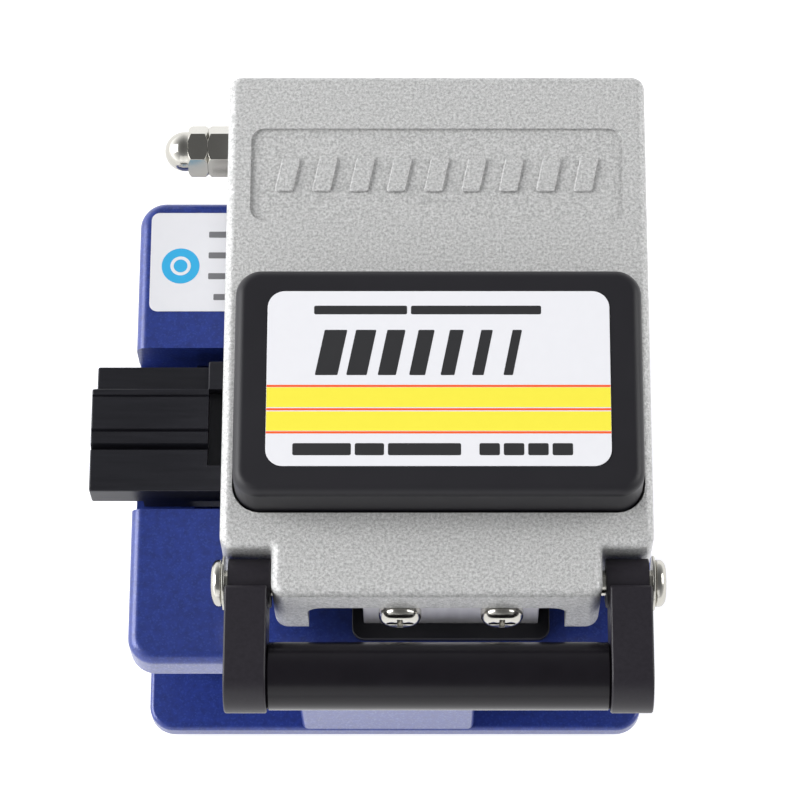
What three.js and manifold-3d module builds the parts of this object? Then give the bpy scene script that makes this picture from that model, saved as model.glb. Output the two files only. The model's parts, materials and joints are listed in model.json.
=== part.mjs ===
// Compact bench-top optical fibre cleaver: a base plate and bridge casting, a sliding carriage with a scoring
// wheel, a hinged lid with clamps, a press cap that bends the fibre, and a pull bail on the lid's front.
// Millimetres. X runs right, Y runs back, Z runs up. The origin is under the middle of the rest mat.
import * as THREE from "three";
import { mergeVertices } from "three/addons/utils/BufferGeometryUtils.js";
import Module from "manifold-3d";

const wasm = await Module();
wasm.setup();

// Clearances
const SEAT = 0.02; // two faces that rest on each other
const RUN = 0.3; // pieces that move past each other
const SLIDE_GAP = 0.2; // the slider over the plate
const BORE_GAP = 0.05; // radial, a pin in its bore
const PAST = 1; // how far a cut runs past the face that it opens

// Rest mat and base plate
const MAT_T = 1;
const MAT_INSET = 2;
const PLATE_W = 63;
const PLATE_D = 62;
const PLATE_T = 2.6;
const PLATE_R = 3.2;
const PLATE_FILLET = 0.6;
const BASE_SCREW_R = 1.5;
const BASE_SCREW_HEAD_R = 2.7;
const BASE_SCREW_L = 12;
const BASE_SCREW_HEAD_T = 1.4;
const BASE_SCREW_INSET = 4;

// Bridge casting
const DECK_W = 62.1;
const DECK_X = -0.15;
const DECK_D = 58.9;
const DECK_BACK = 26.1;
const DECK_T = 5.6;
const DECK_H = 38.4; // from the plate's top to the deck's top
const DECK_R = 2.2;
const DECK_FILLET = 1.3;
const WALL_T = 7;
const WALL_FRONT_SETBACK = 10.8; // the deck overhangs the walls in front
const COLUMN_T = 10;
const CHANNEL_D = 20.6;
const CHANNEL_BACK = 6.7;
const CHANNEL_H = 7;
const CHANNEL_X_END = -15.6;

// Lid
const LID_W = 50;
const LID_X = 5.35;
const LID_D = 65.4;
const LID_BACK = 36.2;
const LID_H = 15; // its top above the deck
const LID_GAP = 2.4; // under its skirt
const LID_WALL = 2;
const LID_ROOF = 2.5;
const LID_R = 1.6;
const LID_FILLET = 1.1;
const NOTCH_W = 6;
const NOTCH_D = 5.8;
const ARCH_H = 5.1; // the front wall's depth between its feet
const FOOT_W = 4;
const ARCH_R = 2;
const BACK_WALL_H = 6.5;
const PANEL_W = 44.4;
const PANEL_D = 11.9;
const PANEL_BACK_INSET = 7.1;
const PANEL_DEPTH = 0.4;
const PANEL_R = 1.6;
const RIB_COUNT = 9;
const RIB_W = 2.2;
const RIB_L = 4.4;
const RIB_LEAN = 0.9;

// Hinge
const HINGE_BACK_INSET = 5;
const HINGE_H = 3.5; // above the deck
const EAR_R = 4.3;
const WEB_BACK_ANGLE = 0.35; // radians, where the web's rear face meets the barrel
const WEB_TOP_ANGLE = 0.6; // radians, where the web's top face meets the barrel
const PIN_R = 1.5;
const BUSH_T = 1;
const BUSH_L = 5;
const NUT_AF = 5.6;
const NUT_T = 3;
const NUT_TURN = 0.2; // radians, how the nuts stand once they are tight
const ACORN_HEX_T = 2.4;
const ACORN_L = 5.4;
const ACORN_R = 2.45;

// Press
const CAP_W = 47.1;
const CAP_D = 27.6;
const CAP_X = 5.55;
const CAP_Y = -5.2;
const CAP_PROUD = 6; // its top above the lid's
const CAP_SUNK = 1.3; // its foot below the lid's top
const CAP_R = 3;
const CAP_FILLET = 1.2;
const CAP_LABEL_W = 39.5;
const CAP_LABEL_D = 21.4;
const CAP_LABEL_R = 2;
const CAP_LABEL_BACK = 0.2; // behind the cap's middle
const PRESS_TRAVEL = 2;
const TUB_FLOOR_T = 2;
const TUB_WALL = 1.5;
const WELL_DEPTH = 5.5;
const PLUNGER_R = 1.5;
const PLUNGER_HEAD_T = 1.6;
const PLUNGER_SPREAD = 18;
const PLUNGER_BACK = 9.4; // behind the cap's middle
const SPRING_WIRE_R = 0.3;
const WELL_GAP = 0.6; // round a spring
const PLUNGER_LIP = 0.7; // its head past its shank
const SPRING_TURNS = 4;
const ANVIL_W = 3.2;
const ANVIL_D = 7;
const ANVIL_H = 6.9;

// Clamps and fibre line
const FIBRE_Y = -6.7;
const FIBRE_H = 1; // above the deck
const CLAMP_W = 9.5;
const CLAMP_D = 11;
const CLAMP_GAP = 5; // between the pair, over the blade
const CLAMP_SUNK = 2;
const PAD_T = 1;
const PAD_W = 4;
const PAD_BITE = 0.2; // left for the fibre

// Blade and slider
const BLADE_X = -1;
const BLADE_R = 8;
const BLADE_T = 1;
const BLADE_BEVEL = 0.48;
const SLIDE_TRAVEL = 18;
const BLADE_AHEAD = 9; // the blade starts this far in front of the fibre
const BLADE_SHY = 0.1; // its edge under the fibre
const HUB_R = 3.4;
const HUB_T = 2.6;
const BLADE_SCREW_HEAD_R = 2.6;
const BLADE_SCREW_HEAD_T = 1.8;
const MOUNT_W = 6.7;
const MOUNT_D = 8;
const POCKET_H = 2.6;
const RAIL_W = 9;
const RAIL_H = 5;
const CARRIAGE_W = 20;
const CARRIAGE_L = 21.5;
const CARRIAGE_H = 8.4;
const BLOCK_W = 40;
const BLOCK_D = 19;
const BLOCK_UNDER_BLADE = 0.5; // under the blade's lowest edge
const THUMB_W = 22;
const THUMB_X = -0.9;
const THUMB_D = 7;
const THUMB_WALL = 1.5; // left in front of the rail's way
const THUMB_FILLET = 0.8;

// Adapter
const ADAPTER_LEFT = -36.15;
const ADAPTER_RIGHT = -16.4;
const ADAPTER_BACK = 4.3;
const ADAPTER_D = 16.6;
const ADAPTER_T = 4;
const ADAPTER_PROUD = 2; // its top above the deck
const ADAPTER_STEP_D = 3.6;
const ADAPTER_STEP_H = 2.2;
const ADAPTER_STEP_IN = 0.4;
const CROSS_SLOT_X = -22.1;
const CROSS_SLOT_W = 1.7;
const CROSS_SLOT_AHEAD = 2.4; // in front of the fibre
const CROSS_SLOT_H = 1.8;
const TAB_LAP = 0.1; // the tab past the cross slot's left side
const SEAT_BLOCK_INSET = 1;
const GUIDE_W = 0.9;
const GUIDE_EXTRA_H = 0.15; // the guide groove's bottom under the fibre
const SIDE_GROOVE_W = 0.5;
const SIDE_GROOVE_H = 0.35;
const SIDE_GROOVE_BACK = 2.1; // behind the fibre

// Deck label, keeper and catch
const DECK_LABEL_W = 20.5;
const DECK_LABEL_D = 13;
const DECK_LABEL_X = -29.75;
const DECK_LABEL_BACK_INSET = 1.65;
const DECK_LABEL_R = 1;
const LABEL_T = 0.12;
const KEEPER_W = 23.3;
const KEEPER_D = 8.4;
const KEEPER_X = 7;
const KEEPER_FRONT_INSET = 2.5;
const KEEPER_T = 0.8;
const KEEPER_R = 1.5;
const MAGNET_R = 4;
const MAGNET_T = 2.5;
const TONGUE_W = 20.5;
const TONGUE_T = 2;
const TONGUE_SETBACK = 0.7;
const CATCH_SCREW_SPREAD = 11.85;
const CATCH_SCREW_DROP = 7.7; // below the lid's top
const CATCH_HEAD_R = 2.5;
const CATCH_HEAD_T = 1.8;
const CATCH_SHANK_R = 1.2;
const CATCH_SCREW_L = 5;

// Bail
const BAIL_PIVOT_INSET = 2.8; // behind the lid's front
const BAIL_PIVOT_DROP = 4.5;
const BAIL_REACH = 11.1;
const BAR_R = 3.9;
const ARM_W = 4.85;
const ARM_R = 4.25;
const ARM_GAP_LEFT = 0.45; // between an arm and the lid's tongue
const ARM_GAP_RIGHT = 0.85;
const HUB_STEP = 1.3; // where the arm rises in front of its pivot
const HUB_STEP_R = 0.4;
const BAIL_HUB_R = 2.85;
const BAIL_HUB_INSET = 0.25;
const BAIL_HEAD_R = 2.75;
const BAIL_HEAD_T = 1.3;
const BAIL_WASHER_R = 3.2;
const BAIL_WASHER_T = 0.3;
const BAIL_SHANK_R = 1.5;
const BAIL_SCREW_GRIP = 4;

// Section shapes, as shares of the piece's radius and thickness
const PAN_PROFILE = [
  [0.92, 0],
  [1, 0.2],
  [1, 0.55],
  [0.86, 0.86],
  [0.55, 1],
  [0, 1],
];
const DOME_PROFILE = [
  [1, 1],
  [0.92, 0.6],
  [0.7, 0.28],
  [0.38, 0.07],
  [0, 0],
];
const RECESS_ARM = 0.58;
const RECESS_HALF_W = 0.13;
const RECESS_DEPTH = 0.7;

// How many flats stand for a round
const SMALL_ROUND = 20;
const ROUND = 24;
const ARM_ROUND = 28;
const BAR_ROUND = 32;
const BLADE_ROUND = 48;

// Places that follow
const SPRING_R = PLUNGER_R + BUSH_T;
const WELL_R = SPRING_R + SPRING_WIRE_R + WELL_GAP;
const PLUNGER_HEAD_R = PLUNGER_R + PLUNGER_LIP;
const PLATE_TOP = MAT_T + PLATE_T;
const DECK_TOP = PLATE_TOP + DECK_H;
const DECK_UNDER = DECK_TOP - DECK_T;
const DECK_LEFT = DECK_X - DECK_W / 2;
const DECK_RIGHT = DECK_X + DECK_W / 2;
const DECK_FRONT = DECK_BACK - DECK_D;
const WALL_FRONT = DECK_FRONT + WALL_FRONT_SETBACK;
const CHANNEL_FRONT = CHANNEL_BACK - CHANNEL_D;
const LID_TOP = DECK_TOP + LID_H;
const LID_UNDER = LID_TOP - LID_ROOF;
const LID_SKIRT = DECK_TOP + LID_GAP;
const LID_LEFT = LID_X - LID_W / 2;
const LID_RIGHT = LID_X + LID_W / 2;
const LID_FRONT = LID_BACK - LID_D;
const NOTCH_BACK = LID_FRONT + NOTCH_D;
const TONGUE_LEFT = LID_LEFT + NOTCH_W;
const TONGUE_RIGHT = LID_RIGHT - NOTCH_W;
const HINGE_Y = LID_BACK - HINGE_BACK_INSET;
const HINGE_Z = DECK_TOP + HINGE_H;
const TUB_FLOOR = LID_TOP - CAP_SUNK - PRESS_TRAVEL - RUN;
const TUB_UNDER = TUB_FLOOR - TUB_FLOOR_T;
const CAP_TOP = LID_TOP + CAP_PROUD;
const CAP_FOOT = LID_TOP - CAP_SUNK;
const WELL_TOP = CAP_FOOT + WELL_DEPTH;
const FIBRE_Z = DECK_TOP + FIBRE_H;
const BLADE_Z = FIBRE_Z - BLADE_SHY - BLADE_R;
const BLADE_Y = FIBRE_Y - BLADE_AHEAD;
const CARRIAGE_TOP = PLATE_TOP + CARRIAGE_H;
const BLOCK_TOP = BLADE_Z - BLADE_R - BLOCK_UNDER_BLADE;
const PLATE_FRONT = -PLATE_D / 2;
const THUMB_BACK = PLATE_FRONT + THUMB_D;
const RAIL_FRONT = PLATE_FRONT + SLIDE_TRAVEL + THUMB_WALL + RUN;
const ADAPTER_TOP = DECK_TOP + ADAPTER_PROUD;
const ADAPTER_UNDER = ADAPTER_TOP - ADAPTER_T;
const CHANNEL_FLOOR = DECK_TOP - CHANNEL_H;
const KEEPER_TOP = DECK_TOP + SEAT + KEEPER_T;
const TONGUE_FRONT = LID_FRONT + TONGUE_SETBACK;
const TONGUE_BACK = TONGUE_FRONT + TONGUE_T;
const BAIL_Y = LID_FRONT + BAIL_PIVOT_INSET;
const BAIL_Z = LID_TOP - BAIL_PIVOT_DROP;
const BAR_Y = BAIL_Y - BAIL_REACH;

// Finishes
const finish = (color, roughness, metalness) =>
  new THREE.MeshStandardMaterial({ color, roughness, metalness });
const silverPaint = finish(0xc3c3c1, 0.45, 0.6);
const bluePaint = finish(0x2b3e82, 0.4, 0.5);
const blackPlastic = finish(0x242328, 0.5, 0);
const blackGloss = finish(0x121116, 0.2, 0);
const blackAnodised = finish(0x24242a, 0.4, 0.6);
const steel = finish(0xb8bac0, 0.35, 1);
const chrome = finish(0xd8d8d4, 0.12, 1);
const brass = finish(0xc2a052, 0.35, 1);
const rubber = finish(0x1b1b1d, 0.9, 0);
const labelWhite = finish(0xf0f0f2, 0.5, 0);
const carbide = finish(0x8d9096, 0.2, 1);

// Solids
function solid(geometry) {
  const bare = geometry.clone();
  bare.deleteAttribute("normal");
  bare.deleteAttribute("uv");
  const merged = mergeVertices(bare, 1e-4);
  const index = [...merged.index.array];
  const triangles = [];
  for (let i = 0; i < index.length; i += 3) {
    const [a, b, c] = index.slice(i, i + 3);
    if (a !== b && b !== c && c !== a) triangles.push(a, b, c);
  }
  return new wasm.Manifold(
    new wasm.Mesh({
      numProp: 3,
      vertProperties: new Float32Array(merged.attributes.position.array),
      triVerts: new Uint32Array(triangles),
    }),
  );
}

function mesh(name, shape, material) {
  const data = shape.getMesh();
  const geometry = new THREE.BufferGeometry();
  geometry.setAttribute("position", new THREE.BufferAttribute(new Float32Array(data.vertProperties), 3));
  geometry.setIndex(new THREE.BufferAttribute(new Uint32Array(data.triVerts), 1));
  geometry.computeVertexNormals();
  const made = new THREE.Mesh(geometry, material);
  made.name = name;
  return made;
}

const joined = (...shapes) => shapes.reduce((whole, piece) => whole.add(piece));

function box(x0, x1, y0, y1, z0, z1) {
  const made = new THREE.BoxGeometry(x1 - x0, y1 - y0, z1 - z0);
  made.translate((x0 + x1) / 2, (y0 + y1) / 2, (z0 + z1) / 2);
  return solid(made);
}

// A path of straight runs with a round corner at each point: points are [x, y, radius].
function roundedPath(points, target = new THREE.Shape()) {
  const count = points.length;
  points.forEach(([x, y, radius], i) => {
    const corner = new THREE.Vector2(x, y);
    const before = new THREE.Vector2(...points[(i + count - 1) % count]).sub(corner).normalize();
    const after = new THREE.Vector2(...points[(i + 1) % count]).sub(corner).normalize();
    const half = Math.acos(before.dot(after)) / 2;
    const run = radius / Math.tan(half);
    const start = corner.clone().addScaledVector(before, run);
    if (i === 0) target.moveTo(start.x, start.y);
    else target.lineTo(start.x, start.y);
    if (radius === 0) return;
    const centre = before.clone().add(after).normalize().multiplyScalar(radius / Math.sin(half)).add(corner);
    const end = corner.clone().addScaledVector(after, run);
    const from = Math.atan2(start.y - centre.y, start.x - centre.x);
    const to = Math.atan2(end.y - centre.y, end.x - centre.x);
    target.absarc(centre.x, centre.y, radius, from, to, before.cross(after) > 0);
  });
  target.closePath();
  return target;
}

const rectangle = (x0, x1, y0, y1, r) =>
  roundedPath([
    [x0, y0, r],
    [x1, y0, r],
    [x1, y1, r],
    [x0, y1, r],
  ]);

// A flat outline raised from z0 to z1, with rounded top and bottom edges where asked.
function slab(outline, z0, z1, topFillet = 0, bottomFillet = 0, curveSegments = 4) {
  const fillet = Math.max(topFillet, bottomFillet);
  const under = bottomFillet > 0 ? z0 : z0 - 2 * fillet;
  const over = topFillet > 0 ? z1 : z1 + 2 * fillet;
  const made = new THREE.ExtrudeGeometry(outline, {
    depth: over - under - 2 * fillet,
    bevelEnabled: fillet > 0,
    bevelThickness: fillet,
    bevelSize: fillet,
    bevelOffset: -fillet,
    bevelSegments: 3,
    curveSegments,
  });
  made.translate(0, 0, under + fillet);
  const whole = solid(made);
  if (under === z0 && over === z1) return whole;
  const { min, max } = whole.boundingBox();
  return whole.intersect(box(min[0] - PAST, max[0] + PAST, min[1] - PAST, max[1] + PAST, z0, z1));
}

// An outline in the Y-Z plane, drawn as [y, z, radius], run from x0 to x1.
function prismX(points, x0, x1, curveSegments = 4) {
  const made = new THREE.ExtrudeGeometry(roundedPath(points), {
    depth: x1 - x0,
    bevelEnabled: false,
    curveSegments,
  });
  made.applyMatrix4(new THREE.Matrix4().makeBasis(
    new THREE.Vector3(0, 1, 0),
    new THREE.Vector3(0, 0, 1),
    new THREE.Vector3(1, 0, 0),
  ));
  made.translate(x0, 0, 0);
  return solid(made);
}

// An outline in the X-Z plane, drawn as [x, z, radius], run from y0 back to y1.
function prismY(points, y0, y1, curveSegments = 4) {
  const made = new THREE.ExtrudeGeometry(roundedPath(points), {
    depth: y1 - y0,
    bevelEnabled: false,
    curveSegments,
  });
  made.rotateX(Math.PI / 2);
  made.translate(0, y1, 0);
  return solid(made);
}

// A body of revolution: the profile is [radius, distance along the axis], drawn on Z, then turned.
function turned(profile, segments, axis, x, y, z) {
  const made = new THREE.LatheGeometry(
    profile.map(([radius, along]) => new THREE.Vector2(radius, along)),
    segments,
  );
  made.rotateX(Math.PI / 2);
  if (axis === "X") made.rotateY(Math.PI / 2);
  if (axis === "-X") made.rotateY(-Math.PI / 2);
  if (axis === "Y") made.rotateX(-Math.PI / 2);
  if (axis === "-Y") made.rotateX(Math.PI / 2);
  made.translate(x, y, z);
  return solid(made);
}

const rod = (r, length, segments, axis, x, y, z) =>
  turned(
    [
      [0, 0],
      [r, 0],
      [r, length],
      [0, length],
    ],
    segments,
    axis,
    x,
    y,
    z,
  );

// The radius of a faceted bore that a round pin of radius r turns in.
const boreRadius = (r, segments) => (r + BORE_GAP) / Math.cos(Math.PI / segments);

const boreRod = (r, length, segments, ...place) => rod(boreRadius(r, segments), length, segments, ...place);

// A pan head with a domed top on a plain shank, head outwards along its axis, with a cross recess.
function panScrew(headR, headT, shankR, shankL, axis, x, y, z) {
  const body = turned(
    [
      [0, -shankL],
      [shankR, -shankL],
      [shankR, 0],
      ...PAN_PROFILE.map(([radius, along]) => [headR * radius, headT * along]),
    ],
    SMALL_ROUND,
    axis,
    x,
    y,
    z,
  );
  const arm = headR * RECESS_ARM;
  const half = headR * RECESS_HALF_W;
  const depth = headT * RECESS_DEPTH;
  const along = { "-Y": [0, -1, 0], X: [1, 0, 0], "-X": [-1, 0, 0], Z: [0, 0, 1] }[axis];
  const centre = [x + along[0] * headT, y + along[1] * headT, z + along[2] * headT];
  const cuts = [0, 1].map((turn) => {
    const spans = axis === "-Y" ? [0, 2] : axis === "Z" ? [0, 1] : [1, 2];
    const size = [2 * depth, 2 * depth, 2 * depth];
    size[spans[turn]] = 2 * arm;
    size[spans[1 - turn]] = 2 * half;
    return box(...centre.flatMap((c, i) => [c - size[i] / 2, c + size[i] / 2]));
  });
  return body.subtract(joined(...cuts));
}

function hexPrism(acrossFlats, length, axis, x, y, z, turn = 0) {
  const r = acrossFlats / 2 / Math.cos(Math.PI / 6);
  const made = new THREE.CylinderGeometry(r, r, length, 6);
  made.rotateY(turn);
  made.translate(0, length / 2, 0);
  made.rotateZ(axis === "X" ? -Math.PI / 2 : Math.PI / 2);
  made.translate(x, y, z);
  return solid(made);
}

// A close coil standing on z0, with flat-sided wire.
function coil(x, y, z0, z1, radius, wireR, turns) {
  class Helix extends THREE.Curve {
    getPoint(t, target = new THREE.Vector3()) {
      const angle = 2 * Math.PI * turns * t;
      const low = z0 + wireR + SEAT;
      const high = z1 - wireR - SEAT;
      return target.set(x + radius * Math.cos(angle), y + radius * Math.sin(angle), low + (high - low) * t);
    }
  }
  const section = new THREE.Shape();
  section.absarc(0, 0, wireR, 0, 2 * Math.PI, false);
  return solid(
    new THREE.ExtrudeGeometry(section, { steps: 12 * turns, extrudePath: new Helix(), curveSegments: 3 }),
  );
}

// Base
function makeBaseScrews(group) {
  const dx = PLATE_W / 2 - BASE_SCREW_INSET;
  const places = [
    [-dx, WALL_FRONT + BASE_SCREW_INSET],
    [dx, WALL_FRONT + BASE_SCREW_INSET],
    [-dx, DECK_BACK - BASE_SCREW_INSET],
    [dx, DECK_BACK - BASE_SCREW_INSET],
  ];
  places.forEach(([x, y], i) => {
    const screw = turned(
      [
        [0, 0],
        [BASE_SCREW_HEAD_R, 0],
        [BASE_SCREW_R, BASE_SCREW_HEAD_T],
        [BASE_SCREW_R, BASE_SCREW_L],
        [0, BASE_SCREW_L],
      ],
      16,
      "Z",
      x,
      y,
      MAT_T + SEAT,
    );
    group.add(mesh(`base_screw_${i + 1}`, screw, steel));
  });
  return places;
}

const screwHole = ([x, y]) =>
  turned(
    [
      [0, -PAST],
      [BASE_SCREW_HEAD_R + BORE_GAP + PAST, -PAST],
      [BASE_SCREW_R + BORE_GAP, BASE_SCREW_HEAD_T + BORE_GAP],
      [BASE_SCREW_R + BORE_GAP, BASE_SCREW_L + SEAT + BORE_GAP],
      [0, BASE_SCREW_L + SEAT + BORE_GAP],
    ],
    16,
    "Z",
    x,
    y,
    MAT_T + SEAT,
  );

function makeBase(group) {
  const places = makeBaseScrews(group);
  const holes = joined(...places.map(screwHole));
  const matX = PLATE_W / 2 - MAT_INSET;
  const matY = PLATE_D / 2 - MAT_INSET;
  group.add(mesh("rest_mat", slab(rectangle(-matX, matX, -matY, matY, PLATE_R), 0, MAT_T), rubber));
  const outline = rectangle(-PLATE_W / 2, PLATE_W / 2, PLATE_FRONT, PLATE_D / 2, PLATE_R);
  const plate = slab(outline, MAT_T + SEAT, PLATE_TOP, PLATE_FILLET);
  group.add(mesh("base_plate", plate.subtract(holes), bluePaint));
  group.add(mesh("body_casting", makeCasting().subtract(holes), bluePaint));
  const railBack = DECK_BACK - COLUMN_T - RUN;
  const rail = box(
    -RAIL_W / 2,
    RAIL_W / 2,
    RAIL_FRONT,
    railBack,
    PLATE_TOP + SEAT,
    PLATE_TOP + RAIL_H,
  );
  group.add(mesh("slide_rail", rail, steel));
}

function makeCasting() {
  const outline = rectangle(DECK_LEFT, DECK_RIGHT, DECK_FRONT, DECK_BACK, DECK_R);
  const deck = slab(outline, DECK_UNDER, DECK_TOP, DECK_FILLET);
  const foot = PLATE_TOP + SEAT;
  const leftWall = box(
    DECK_LEFT,
    DECK_LEFT + WALL_T,
    WALL_FRONT,
    DECK_BACK - DECK_R,
    foot,
    DECK_UNDER + PAST,
  );
  const rightWall = box(
    DECK_RIGHT - WALL_T,
    DECK_RIGHT,
    WALL_FRONT,
    DECK_BACK - DECK_R,
    foot,
    DECK_UNDER + PAST,
  );
  const columnFront = DECK_BACK - COLUMN_T;
  const column = box(
    DECK_LEFT + DECK_R,
    DECK_RIGHT - DECK_R,
    columnFront,
    DECK_BACK,
    foot,
    DECK_UNDER + PAST,
  );
  const knuckleLeft = LID_LEFT + LID_WALL + RUN;
  const knuckleRight = LID_RIGHT - LID_WALL - RUN;
  const web = prismX(
    [
      [columnFront + PAST, DECK_UNDER - DECK_T, 0],
      [DECK_BACK, DECK_UNDER - DECK_T, 0],
      [HINGE_Y, DECK_UNDER, 0],
      [HINGE_Y + EAR_R * Math.cos(WEB_BACK_ANGLE), HINGE_Z - EAR_R * Math.sin(WEB_BACK_ANGLE), 0],
      [HINGE_Y, HINGE_Z, 0],
      [HINGE_Y - EAR_R * Math.sin(WEB_TOP_ANGLE), HINGE_Z + EAR_R * Math.cos(WEB_TOP_ANGLE), 0],
      [DECK_BACK - DECK_FILLET, DECK_TOP - DECK_FILLET, 0],
      [columnFront + PAST, DECK_TOP - DECK_FILLET, 0],
    ],
    knuckleLeft,
    knuckleRight,
  );
  const barrel = rod(EAR_R, knuckleRight - knuckleLeft, ROUND, "X", knuckleLeft, HINGE_Y, HINGE_Z);
  const pinBore = boreRod(PIN_R + RUN, LID_W + 2 * PAST, ROUND, "X", LID_LEFT - PAST, HINGE_Y, HINGE_Z);
  const bushR = PIN_R + BUSH_T + BORE_GAP;
  const bushBores = [knuckleLeft - PAST, knuckleRight - BUSH_L - SEAT].map((x) =>
    boreRod(bushR, BUSH_L + PAST + SEAT, ROUND, "X", x, HINGE_Y, HINGE_Z),
  );
  const channel = box(
    DECK_LEFT - PAST,
    CHANNEL_X_END,
    CHANNEL_FRONT,
    CHANNEL_BACK,
    CHANNEL_FLOOR,
    DECK_TOP + PAST,
  );
  const clampHoles = clampPlaces().map(([x]) =>
    box(
      x - RUN / 2,
      x + CLAMP_W + RUN / 2,
      FIBRE_Y - CLAMP_D / 2 - RUN / 2,
      FIBRE_Y + CLAMP_D / 2 + RUN / 2,
      DECK_TOP - CLAMP_SUNK,
      DECK_TOP + PAST,
    ),
  );
  const swingFront = BLADE_Y - BLADE_R - PAST;
  const swingBack = BLADE_Y + SLIDE_TRAVEL + BLADE_R + PAST;
  const bladeSlot = box(
    BLADE_X - BLADE_T / 2 - 2 * RUN,
    BLADE_X + BLADE_T / 2 + 2 * RUN,
    swingFront,
    swingBack,
    DECK_UNDER - PAST,
    DECK_TOP + PAST,
  );
  const bladePocket = box(
    BLADE_X - BLADE_T / 2 - BLADE_SCREW_HEAD_T - 2 * PAST,
    BLADE_X + BLADE_T / 2 + HUB_T + MOUNT_W + 2 * PAST,
    swingFront,
    swingBack,
    DECK_UNDER - PAST,
    DECK_UNDER + POCKET_H,
  );
  const magnet = rod(
    MAGNET_R + BORE_GAP,
    MAGNET_T + PAST,
    ROUND,
    "Z",
    KEEPER_X,
    keeperMiddle(),
    DECK_TOP - MAGNET_T,
  );
  return joined(deck, leftWall, rightWall, column, web, barrel)
    .subtract(pinBore)
    .subtract(joined(...bushBores))
    .subtract(channel)
    .subtract(joined(...clampHoles))
    .subtract(bladeSlot)
    .subtract(bladePocket)
    .subtract(magnet);
}

const keeperMiddle = () => DECK_FRONT + KEEPER_FRONT_INSET + KEEPER_D / 2;

// The left edge of each clamp of the pair, and its side's name.
const clampPlaces = () => [
  [BLADE_X - CLAMP_GAP / 2 - CLAMP_W, "left"],
  [BLADE_X + CLAMP_GAP / 2, "right"],
];

function makeLowerClamps(group) {
  clampPlaces().forEach(([x, side]) => {
    const top = FIBRE_Z;
    const y0 = FIBRE_Y - CLAMP_D / 2;
    const y1 = FIBRE_Y + CLAMP_D / 2;
    const block = box(x, x + CLAMP_W, y0, y1, DECK_TOP - CLAMP_SUNK + SEAT, top);
    const padX = x + (CLAMP_W - PAD_W) / 2;
    const groove = box(
      padX - SEAT,
      padX + PAD_W + SEAT,
      y0 - PAST,
      y1 + PAST,
      top - PAD_T - SEAT,
      top + PAST,
    );
    group.add(mesh(`lower_clamp_${side}`, block.subtract(groove), steel));
    group.add(mesh(`lower_pad_${side}`, box(padX, padX + PAD_W, y0, y1, top - PAD_T, top), rubber));
  });
}

function makeDeckTrim(group) {
  const labelBack = DECK_BACK - DECK_LABEL_BACK_INSET;
  const labelOutline = rectangle(
    DECK_LABEL_X,
    DECK_LABEL_X + DECK_LABEL_W,
    labelBack - DECK_LABEL_D,
    labelBack,
    DECK_LABEL_R,
  );
  const label = slab(labelOutline, DECK_TOP + SEAT, DECK_TOP + SEAT + LABEL_T);
  group.add(mesh("deck_label", label, labelWhite));
  const keeperY = keeperMiddle();
  const keeper = slab(
    rectangle(
      KEEPER_X - KEEPER_W / 2,
      KEEPER_X + KEEPER_W / 2,
      keeperY - KEEPER_D / 2,
      keeperY + KEEPER_D / 2,
      KEEPER_R,
    ),
    DECK_TOP + SEAT,
    KEEPER_TOP,
  );
  group.add(mesh("keeper_plate", keeper, blackAnodised));
  const magnet = rod(MAGNET_R, MAGNET_T - SEAT, ROUND, "Z", KEEPER_X, keeperY, DECK_TOP - MAGNET_T + SEAT);
  group.add(mesh("catch_magnet", magnet, steel));
}

function makeHingeBushes(group) {
  const left = LID_LEFT + LID_WALL + RUN;
  const right = LID_RIGHT - LID_WALL - RUN - BUSH_L;
  [
    [left, "left"],
    [right, "right"],
  ].forEach(([x, side]) => {
    const ring = rod(PIN_R + BUSH_T, BUSH_L, ROUND, "X", x, HINGE_Y, HINGE_Z);
    const bore = boreRod(PIN_R, BUSH_L + 2 * PAST, ROUND, "X", x - PAST, HINGE_Y, HINGE_Z);
    group.add(mesh(`hinge_bush_${side}`, ring.subtract(bore), brass));
  });
}

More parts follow.
